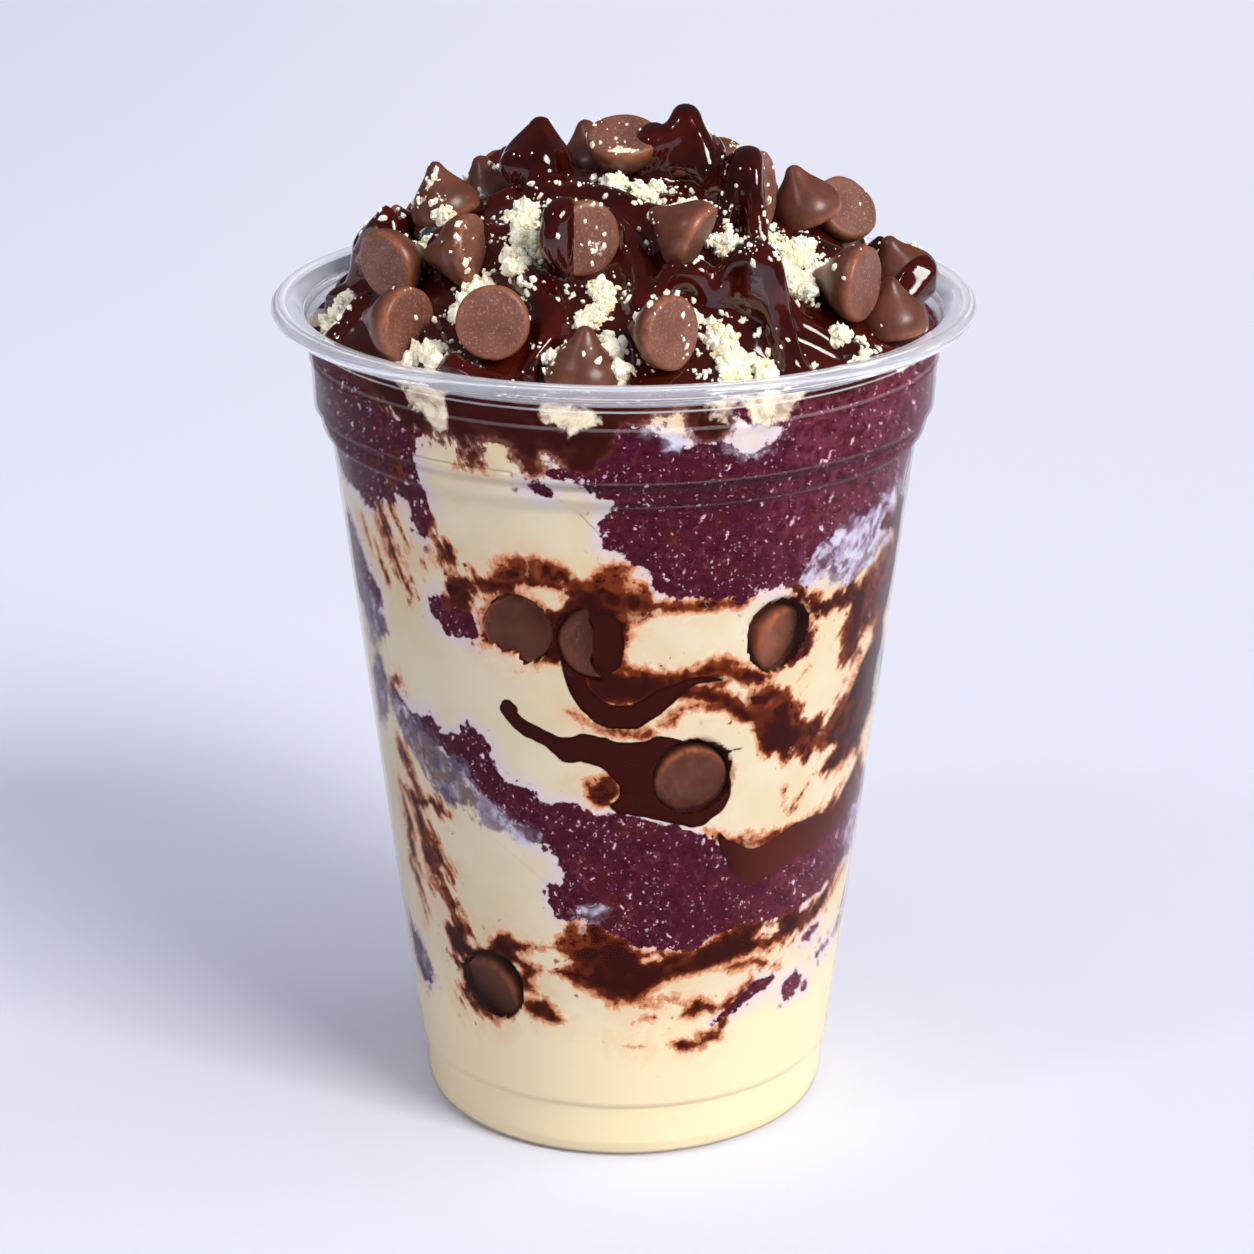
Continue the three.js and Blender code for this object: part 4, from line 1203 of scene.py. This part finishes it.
# The underside of the cup and the inside of its foot, (radius, height).
UNDERSIDE = [(0, 1.2), (21.0, 1.2), (23.2, 1.1), (23.9, 0.5), (24.2, 0.0)]
INSIDE_FOOT = [(28.3, 1.3), (27.5, 0.6), (25.2, 0.5), (24.8, 0.9), (24.5, 1.6), (24.0, 1.7), (0, 1.7)]
# The rolled rim, (radius, distance under its top).
ROLLED_RIM = [
    (44.15, 3.0), (44.7, 2.55), (45.6, 2.4), (46.8, 2.3), (47.6, 2.3), (48.3, 2.15), (48.75, 1.8),
    (RIM_RADIUS, 1.2), (48.9, 0.65), (48.5, 0.2), (47.9, 0.0), (47.3, 0.08), (46.7, 0.3),
    (45.9, 0.45), (45.2, 0.7), (44.6, 1.3), (44.1, 2.4), (43.6, 3.6),
]


def make_cup(wall_material, rim_material, inner_material):
    """The cup turned from its outline, with the rolled rim and the fine rings of the brim."""
    rim = [(radius, CUP_HEIGHT - drop) for radius, drop in ROLLED_RIM]
    inside = [(radius - WALL, height) for radius, height in reversed(CUP_SIDE[3:])]
    turns = np.arange(CUP_FACETS) * 360 / CUP_FACETS
    points, rings = [], []
    for radius, height in UNDERSIDE + CUP_SIDE + rim + inside + INSIDE_FOOT:
        count = 1 if radius == 0 else CUP_FACETS
        at = heading(turns[:count]) * radius
        rings.append(len(points) + np.arange(count))
        points.extend(np.column_stack([at, np.full(count, height)]).tolist())
    faces = fan(rings[1], rings[0][0]) + fan(rings[-2], rings[-1][0])
    for a, b in zip(rings[1:-1], rings[2:-1]):
        faces += band(a, b)
    piece = new_mesh_object("clear_cup", points, faces)
    face_outwards(piece)
    for material in (wall_material, rim_material, inner_material):
        piece.data.materials.append(material)
    for face in piece.data.polygons:
        inner = face.normal.dot(face.center * Vector((1, 1, 0))) < 0
        face.material_index = 1 if face.center.z > RIM_FOOT * MM else 2 if inner else 0
    return piece


# ------------------------------------------------------------------ the heap

MOUND_DROP = 1.2               # of the sauce between the chips, under the heap's own height
SAUCE_UNDER = 0.7              # how far the sauce lies under what it leaves bare
SAUCE_FOOT = 112.5             # the height where the sauce ends, inside the cup
HEAP_CELL = 0.54               # of the grid that the sauce is made on


def mound_height(reach):
    return HEAP_TOP - (HEAP_TOP - HEAP_EDGE) * np.clip(reach / HEAP_RADIUS, 0, 1.1) ** 2


def surface_of(field, low, cell):
    """The zero surface of a grid that is negative inside: vertices and quads."""
    inside = field < 0
    shape = np.array(field.shape) - 1
    total = np.zeros((*shape, 3), np.float32)
    count = np.zeros(shape, np.int32)
    crossings = []
    for axis in range(3):
        near = [slice(None)] * 3
        far = [slice(None)] * 3
        near[axis], far[axis] = slice(None, -1), slice(1, None)
        crossed = inside[tuple(near)] != inside[tuple(far)]
        at = np.argwhere(crossed)
        first = field[tuple(near)][crossed]
        second = field[tuple(far)][crossed]
        point = at.astype(np.float32)
        point[:, axis] += first / (first - second)
        crossings.append((at, inside[tuple(near)][crossed]))
        others = [k for k in range(3) if k != axis]
        for shift_a in (0, 1):
            for shift_b in (0, 1):
                cell_at = at.copy()
                cell_at[:, others[0]] -= shift_a
                cell_at[:, others[1]] -= shift_b
                fits = ((cell_at >= 0) & (cell_at < shape)).all(axis=1)
                index = tuple(cell_at[fits].T)
                np.add.at(total, index, point[fits])
                np.add.at(count, index, 1)
    used = count > 0
    number = np.full(shape, -1)
    number[used] = np.arange(used.sum())
    points = total[used] / count[used][:, None] * cell + low
    quads = []
    for axis, (at, starts_inside) in enumerate(crossings):
        a, b = (axis + 1) % 3, (axis + 2) % 3
        fits = (at[:, a] > 0) & (at[:, b] > 0) & (at[:, a] < shape[a]) & (at[:, b] < shape[b])
        at, starts_inside = at[fits], starts_inside[fits]
        ring = []
        for shift_a, shift_b in ((1, 1), (0, 1), (0, 0), (1, 0)):
            cell_at = at.copy()
            cell_at[:, a] -= shift_a
            cell_at[:, b] -= shift_b
            ring.append(number[tuple(cell_at.T)])
        quad = np.column_stack(ring)
        quad[~starts_inside] = quad[~starts_inside][:, ::-1]
        quads.append(quad)
    return points, np.vstack(quads)


class HeapGrid:
    """The grid on which the mound, the chips in it and the sauce over them are fields."""

    def __init__(self, cell):
        self.cell = cell
        self.low = np.array([-45.0, -45.0, 109.0])
        self.counts = (np.array([90.0, 90.0, 42.0]) / cell).astype(int) + 1
        self.axes = [self.low[k] + cell * np.arange(self.counts[k]) for k in range(3)]
        x, y, self.z = np.meshgrid(*self.axes, indexing="ij", sparse=True)
        self.reach = np.sqrt(x * x + y * y)
        self.plan = np.stack(np.broadcast_arrays(x[..., 0], y[..., 0]), -1)

    def window(self, middle, reach):
        """The slices and the points of the grid within reach of a place."""
        slices = []
        for k in range(3):
            first = int(np.floor((middle[k] - reach - self.low[k]) / self.cell))
            last = int(np.ceil((middle[k] + reach - self.low[k]) / self.cell)) + 1
            slices.append(slice(max(first, 0), min(max(last, 1), self.counts[k])))
        points = np.stack(np.meshgrid(*[axis[s] for axis, s in zip(self.axes, slices)],
                                      indexing="ij"), -1)
        return tuple(slices), points

    def plan_index(self, spots):
        """Where places in plan lie on the grid."""
        index = ((spots[:, :2] - self.low[:2]) / self.cell).round().astype(int)
        return tuple(np.clip(index, 0, self.counts[:2] - 1).T)

    def top_of(self, field):
        """The height of the top of a field over each point of the plan."""
        filled = field < 0
        last = filled.shape[2] - 1 - np.argmax(filled[..., ::-1], axis=2)
        return self.axes[2][np.clip(last, 0, None)]


def near_chips(grid, places):
    """For each chip, the slices and the points of the grid near it, how far each point lies from
    the chip, negative inside, and how far along it."""
    profile = np.array(CHIP_OUTLINE) * (CHIP_RADIUS, CHIP_HEIGHT)
    outline = np.vstack([profile[1:-1], profile[-1:], profile[-2:0:-1] * (-1, 1)])
    for base, axis, size in places:
        slices, points = grid.window(base + axis * 3, 9)
        apart = points.reshape(-1, 3) - base
        along = apart @ axis
        across = np.linalg.norm(apart - along[:, None] * axis, axis=1)
        depth = depth_in_outline(np.column_stack([across, along]), outline * size)
        yield slices, points, -depth.reshape(points.shape[:-1]), along.reshape(points.shape[:-1])


def mound_field(grid):
    """The lumpy mound between the chips."""
    level = np.full((*grid.plan.shape[:2], 1), 5.0)
    lumpy = 1.1 * grain(np.concatenate([grid.plan, level], axis=-1), 9, 21, 2)
    return (grid.z - mound_height(grid.reach) + MOUND_DROP - lumpy[..., None]) * 0.8


def fall_thickness(grid):
    """How thick the falls of sauce lie over each point of the plan."""
    flat = grid.plan.reshape(-1, 2)
    thick = np.full(len(flat), -SAUCE_UNDER)
    for *points, width in SAUCE_FALLS:
        apart, along = distance_to_path(flat, curved(in_plan(points), 6))
        wide = width / 2 * (0.85 + 0.35 * np.sin(along * 9 + width * 5) * 0.5)
        share = np.clip(1 - (apart / wide) ** 2, 0, 1)
        thick = np.where(share > 0, np.maximum(thick, 1.27 * share ** 0.6 - 0.15), thick)
    return thick.reshape(grid.plan.shape[:2])


def sauce_cover(grid, thick, bare_places, glazed_places):
    """How thick the sauce lies on what is under it, and how clear of a bare chip each point is.
    The sauce keeps off the bare chips, and glazes others all but for their bases."""
    cover = np.repeat(thick[..., None], grid.counts[2], axis=2).astype(np.float32)
    clear = np.ones_like(cover)
    for slices, _, gap, _ in near_chips(grid, bare_places):
        clear[slices] = np.minimum(clear[slices], smoothstep(0.4, 1.4, gap))
    cover = cover * clear - SAUCE_UNDER * (1 - clear)
    for slices, points, gap, along in near_chips(grid, glazed_places):
        off_base = smoothstep(0.2, 1.2, along + 0.5 * grain(points, 3, 51))
        glaze = SAUCE_UNDER + 0.3 + 0.25 * grain(points, 4, 52)
        coat = smoothstep(1.4, 0.5, gap) * off_base * glaze - SAUCE_UNDER
        cover[slices] = np.maximum(cover[slices], coat)
    return cover, clear


def lay_strands(grid, sauce, solid, clear):
    """Lays a round strand of sauce along each fall, over the chips that it crosses."""
    top = grid.top_of(solid)
    for *points, width in SAUCE_FALLS:
        path = curved(in_plan(points), 8)
        heights = np.pad(top[grid.plan_index(path)], 3, mode="edge")
        strand = np.column_stack([path, np.convolve(heights, np.ones(7) / 7, "valid")])
        radius = width * 0.3
        for a, b in zip(strand, strand[1:]):
            slices, points_near = grid.window((a + b) / 2, radius + np.linalg.norm(b - a) / 2 + 3)
            apart, _ = distance_to_path(points_near.reshape(-1, 3), np.array([a, b]))
            bead = apart.reshape(points_near.shape[:-1]) - radius + 7 * (1 - clear[slices])
            sauce[slices] = smooth_min(sauce[slices], bead.astype(np.float32), 0.9)


def heap_fields(grid, chip_places, bare_places, glazed_places):
    """The mound with its chips, the sauce on it, and how thick the sauce lies."""
    mound = mound_field(grid)
    solid = mound.astype(np.float32).copy()
    for slices, _, chip, _ in near_chips(grid, chip_places):
        solid[slices] = smooth_min(solid[slices], chip.astype(np.float32), 1.0)
    thick = fall_thickness(grid)
    cover, clear = sauce_cover(grid, thick, bare_places, glazed_places)
    sauce = np.minimum(mound, solid - cover)
    lay_strands(grid, sauce, solid, clear)
    past_wall = grid.reach - (filling_radius(grid.z) - 0.25)
    return solid, np.maximum(np.maximum(sauce, past_wall), SAUCE_FOOT - grid.z), thick


def make_sauce(grid, sauce, thick, material):
    points, quads = surface_of(sauce.astype(np.float32), grid.low, grid.cell)
    piece = new_mesh_object("sauce_over_heap", points, quads.tolist())
    set_attribute(piece, "thickness", np.maximum(thick[grid.plan_index(points)], 0))
    piece.data.materials.append(material)
    smoothing = piece.modifiers.new("settle", "SMOOTH")
    smoothing.factor, smoothing.iterations = 0.5, 4
    return apply_modifiers(piece)


# ------------------------------------------------------------------ milk powder

def lump_cores(grid, tops, material):
    """The hearts of the powder lumps, each a pile of a few rough clods."""
    parts = []
    rng = np.random.default_rng(7)
    unit, faces = round_ball(3, 1.0)
    for number, (spot, radius) in enumerate(spots_in_plan(POWDER_LUMPS)):
        for clod in range(4):
            size = radius * rng.uniform(0.34, 0.56)
            at = spot + rng.uniform(-0.55, 0.55, 2) * radius
            height = min(tops[grid.plan_index(at[None])][0], mound_height(np.linalg.norm(at)) + 2.2)
            rough = 1 + 0.55 * grain(unit * 2.4 + number * 9 + clod * 5, 1.0, 30, 4)
            stretch = rng.uniform(0.8, 1.3, 3) * (1, 1, 0.8)
            points = unit * rough[:, None] * size * stretch + (*at, height + 0.05 * radius)
            reach = np.linalg.norm(points[:, :2], axis=1)
            points[:, :2] *= np.minimum(1, POWDER_REACH / reach)[:, None]
            parts.append(new_mesh_object(f"clod_{number}_{clod}", points, faces))
    cores = join_objects("powder_cores", parts)
    cores.data.materials.append(material)
    return cores


def crumb_tree(material):
    """Geometry nodes that scatter crumbs over a surface where its dust attribute says."""
    tree, given, out = new_group(
        "scattered crumbs",
        [("Surface", "NodeSocketGeometry"), ("Crumb", "NodeSocketObject"),
         ("Density", "NodeSocketFloat"), ("Spacing", "NodeSocketFloat"),
         ("Smallest", "NodeSocketFloat"), ("Largest", "NodeSocketFloat"), ("Seed", "NodeSocketInt")],
        [("Geometry", "NodeSocketGeometry")], "GeometryNodeTree")
    dust = put(tree, "GeometryNodeInputNamedAttribute", {"Name": "dust"}, data_type="FLOAT")
    spread = put(tree, "GeometryNodeDistributePointsOnFaces",
                 {"Mesh": given.outputs["Surface"], "Distance Min": given.outputs["Spacing"],
                  "Density Max": given.outputs["Density"], "Density Factor": dust.outputs["Attribute"],
                  "Seed": given.outputs["Seed"]}, distribute_method="POISSON")
    crumb = put(tree, "GeometryNodeObjectInfo", {"Object": given.outputs["Crumb"]})
    chance = put(tree, "FunctionNodeRandomValue", {"Seed": given.outputs["Seed"]}, data_type="FLOAT")
    size = put(tree, "ShaderNodeMapRange", {
        "Value": maths(tree, "POWER", chance.outputs[1], 2.2), "To Min": given.outputs["Smallest"],
        "To Max": given.outputs["Largest"]})
    turned = put(tree, "FunctionNodeRandomValue", {0: (-3.14, -3.14, -3.14), 1: (3.14, 3.14, 3.14),
                                                   "Seed": given.outputs["Seed"]},
                 data_type="FLOAT_VECTOR")
    placed = put(tree, "GeometryNodeInstanceOnPoints",
                 {"Points": spread.outputs["Points"], "Instance": crumb.outputs["Geometry"],
                  "Rotation": turned.outputs[0], "Scale": size.outputs["Result"]})
    real = put(tree, "GeometryNodeRealizeInstances", {"Geometry": placed.outputs[0]})
    coated = put(tree, "GeometryNodeSetMaterial", {"Geometry": real.outputs[0], "Material": material})
    tree.links.new(coated.outputs[0], out.inputs["Geometry"])
    return tree


def make_crumb(name, subdivisions, seed):
    """One angular crumb a millimetre across, to be scattered."""
    unit, faces = round_ball(subdivisions, 0.5)
    points = unit * (1 + 0.75 * grain(unit * 4, 0.9, seed, 2))[:, None] * (1.25, 0.9, 0.75)
    return new_mesh_object(name, points, faces, smooth=False)


def scatter(name, surface, tree, values):
    """Crumbs over a copy of a surface, as a piece of their own."""
    return run_tree(show(bpy.data.objects.new(name, surface.data.copy())), tree, values)


def powder_density(piece):
    """How thickly crumbs lie on a piece: close round the lumps, in clusters, on what faces up."""
    points = vertices_of(piece)
    normals = np.array([vertex.normal for vertex in piece.data.vertices])
    near = np.zeros(len(points))
    for spot, radius in spots_in_plan(POWDER_LUMPS):
        apart = np.linalg.norm(points[:, :2] - spot - heading(0), axis=1)
        near = np.maximum(near, smoothstep(radius + 6.0, radius - 0.5, apart) ** 1.6)
    upward = smoothstep(-0.1, 0.7, normals[:, 2])
    clustered = smoothstep(-0.2, 0.5, grain(points, 2.4, 41, 3))
    stray = 0.07 * smoothstep(0.0, 0.5, grain(points, 6, 43, 2))
    dusted = np.zeros(len(points))
    for spot, radius in spots_in_plan(DUSTED_SPOTS):
        apart = np.linalg.norm(points[:, :2] - spot, axis=1)
        dusted = np.maximum(dusted, smoothstep(radius, 0.3 * radius, apart))
    dusted = dusted * smoothstep(-0.1, 0.3, grain(points, 1.6, 44, 3)) * (normals[:, 2] > -0.2)
    inside = (points[:, 2] > POWDER_FOOT) & (np.linalg.norm(points[:, :2], axis=1) < POWDER_REACH)
    return np.maximum((near * clustered + stray) * upward, 0.7 * dusted) * inside


def make_powder(grid, tops, under, material, heart):
    """Lumps of milk powder on the heap, crumbs all over them, and specks shed round about."""
    cores = lump_cores(grid, tops, heart)
    set_attribute(cores, "dust", np.ones(len(cores.data.vertices)))
    scattered = crumb_tree(material)
    nugget = make_crumb("nugget", 2, 3)
    speck = make_crumb("speck", 1, 5)

    def strew(name, surface, crumb, density, spacing, smallest, largest, seed):
        piece = scatter(name, surface, scattered, {
            "Crumb": crumb, "Density": density, "Spacing": spacing * MM, "Smallest": smallest,
            "Largest": largest, "Seed": seed})
        finish_piece(piece, "milk_powder")

    strew("powder_nuggets", cores, nugget, 3e6, 0.9, 0.5, 2.1, 4)
    strew("powder_crumbs", cores, speck, 3e6, 0.5, 0.3, 1.2, 6)
    finish_piece(cores, "milk_powder", "topping_mound")
    for piece in under:
        set_attribute(piece, "dust", powder_density(piece))
    catch = join_copies("catch", under)
    strew("powder_specks", catch, speck, 2.5e6, 0.45, 0.25, 1.25, 9)
    for spare in (catch, nugget, speck):
        bpy.data.objects.remove(spare)


# ------------------------------------------------------------------ stage, lights, camera

def make_floor():
    """A pale floor that runs on into the backdrop, with painted shade and light: darker in front,
    lighter at the back, and darker at its back left.
    """
    material, tree, shader = new_material("pale floor")
    place = object_place(tree)
    back = ramp(tree, part_of(tree, place, "Y"), -0.35, 0.9)
    left = ramp(tree, part_of(tree, place, "X"), 0.05, -0.3)
    clouds = ramp(tree, noise(tree, place, 2.0, 2), 0.3, 0.7, 0.0, 0.3)
    # Painted shade in front and at the back left, painted light at the back.
    pale = painted(tree, FLOOR_NEAR, (back, FLOOR_BACK), (clouds, FLOOR_CLOUD),
                   (times(tree, left, back, 0.9), FLOOR_BACK_LEFT))
    feed(tree, shader, {"Base Color": pale, "Roughness": 0.7, "Specular IOR Level": 0.15})
    size = 6000
    corners = [(-size, -size, 0), (size, -size, 0), (size, size, 0), (-size, size, 0)]
    floor = new_mesh_object("floor", corners, [(0, 1, 2, 3)], smooth=False)
    floor.data.materials.append(material)


def add_light(name, kind, place, aim, power, tint=(1, 1, 1), **settings):
    """A light that shines from a place towards an aim."""
    light = bpy.data.lights.new(name, kind)
    light.energy, light.color = power, tint
    for setting, value in settings.items():
        setattr(light, setting, value)
    holder = bpy.data.objects.new(name, light)
    holder.location = Vector(place) * MM
    holder.rotation_euler = (Vector(aim) - Vector(place)).to_track_quat("-Z", "Y").to_euler()
    return show(holder)


def set_world():
    """Soft bluish light from all round, which shiny things mirror only faintly."""
    world = bpy.data.worlds.new("studio")
    world.use_nodes = True
    tree = world.node_tree
    path = put(tree, "ShaderNodeLightPath")
    feed(tree, tree.nodes["Background"], {
        "Color": mix_colour(tree, path.outputs["Is Glossy Ray"], SKY, SKY_MIRRORED)})
    bpy.context.scene.world = world


def set_lights():
    """A low sun from the right and in front, a softer one from the side, a weak fill under the
    heap's shade, and two lamps for the glints on the sauce."""
    middle, heap = (0, 0, 60), (0, 0, 120)
    add_light("key", "SUN", (1970, -2040, 2120), middle, 2.28, (1.0, 0.99, 0.93), angle=0.44)
    side = add_light("side", "SUN", (2500, -90, 1330), middle, 1.0, (1.0, 0.98, 0.97), angle=0.9)
    fill = add_light("low fill", "AREA", (-300, -330, 60), (0, 0, 30), 0.34, shape="DISK",
                     size=180 * MM)
    side.visible_glossy = fill.visible_glossy = False
    add_light("glint right", "AREA", (330, -300, 520), heap, 0.5, shape="RECTANGLE",
              size=45 * MM, size_y=170 * MM)
    add_light("glint left", "AREA", (-260, -240, 560), heap, 0.3, shape="DISK", size=45 * MM)


CAMERA_PLACE = (0.41, -495.04, 247.76)
CAMERA_DIP = 0.344             # radians below level
CAMERA_LENS = 105.01
FRAME_WIDTH = 36.0


def set_camera():
    lens = bpy.data.cameras.new("camera")
    lens.lens, lens.sensor_width = CAMERA_LENS, FRAME_WIDTH
    lens.clip_start, lens.clip_end = 0.01, 20
    camera = bpy.data.objects.new("camera", lens)
    camera.location = Vector(CAMERA_PLACE) * MM
    camera.rotation_euler = (math.pi / 2 - CAMERA_DIP, 0, 0)
    bpy.context.scene.camera = show(camera)


# ------------------------------------------------------------------ assembly

def is_wall_chip(place):
    return bool(place[0][2] < WALL_CHIPS_BELOW)


def build_cup():
    waves = waves_group()
    wall = plastic_finish("clear cup plastic", waves, 1.13, 0.0, 0.5, WALL_CREASES)
    rim = plastic_finish("clear rim plastic", waves, 1.36, 0.18, 0.0, RIM_CREASES)
    inside = plastic_finish("clear inside of the cup", waves, 1.001, 0.0, 0.5)
    finish_piece(make_cup(wall, rim, inside), "clear_plastic", "cup")


def build_filling(wall_chips):
    swirls = swirl_group()
    cream = filling_finish("cream with swirls", swirls, 0.02)
    acai = filling_finish("acai with swirls", swirls, 0.03)
    for name, material, slot in [("cream_base", cream, "cream"), ("acai_lower", acai, "acai"),
                                 ("cream_middle", cream, "cream"), ("acai_upper", acai, "acai")]:
        piece = make_filling(f"{name}_swirled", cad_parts[name], material, wall_chips,
                             foot=name == "cream_base", tucked=slot == "acai")
        finish_piece(piece, slot, name)
    side = make_filling("mound_side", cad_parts["topping_mound"], acai, wall_chips)
    finish_piece(side, "sauce", "topping_mound")


def build_chips(places):
    """The chips over their places. They go on the body once the powder has marked its dust."""
    chocolate, tree = chocolate_group(), chip_tree()
    on_heap = chip_finish("milk chocolate chip", chocolate, 0.5)
    behind_wall = chip_finish("milk chocolate chip behind the wall", chocolate, 0.05)
    chips = []
    for number, (name, place) in enumerate(places.items()):
        if is_wall_chip(place):
            chip = make_chip(f"{name}_moulded", tree, behind_wall, place, number, CHIP_REACH_OUT,
                             WALL_CHIP_PAINTED_SHADE.get(name, 0.5))
        else:
            chip = make_chip(f"{name}_moulded", tree, on_heap, place, number)
        chips.append(chip)
    return chips


def build_heap(places, chips):
    """The sauce and the milk powder over the heap."""
    grid = HeapGrid(HEAP_CELL)
    on_heap = {name: place for name, place in places.items() if not is_wall_chip(place)}
    bare = [place for name, place in on_heap.items() if name not in CROSSED]
    glazed = [places[name] for name in GLAZED]
    solid, sauce, thick = heap_fields(grid, on_heap.values(), bare, glazed)
    skin = finish_piece(make_sauce(grid, sauce, thick, sauce_finish()), "sauce", "topping_mound")

    tops = np.maximum(grid.top_of(sauce), grid.top_of(solid))
    milk_powder = powder_group()
    crumbs = powder_finish("milk powder", milk_powder, POWDER_HOLLOW_SHADE, POWDER_LIGHT)
    # The hearts get the darker, yellower copy of the powder: painted shade deep in each lump.
    hearts = powder_finish("heart of a powder lump", milk_powder, HEART_HOLLOW_SHADE, HEART_LIGHT)
    make_powder(grid, tops, chips + [skin], crumbs, hearts)


def main():
    bpy.context.scene.view_settings.view_transform = "Standard"
    set_camera()
    set_world()
    set_lights()
    make_floor()

    names = sorted(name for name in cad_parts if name.startswith("chip_"))
    places = {name: chip_place(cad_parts[name]) for name in names}
    build_cup()
    build_filling([place for place in places.values() if is_wall_chip(place)])
    chips = build_chips(places)
    build_heap(places, chips)
    for name, piece in zip(places, chips):
        finish_piece(piece, "chip", name)


main()
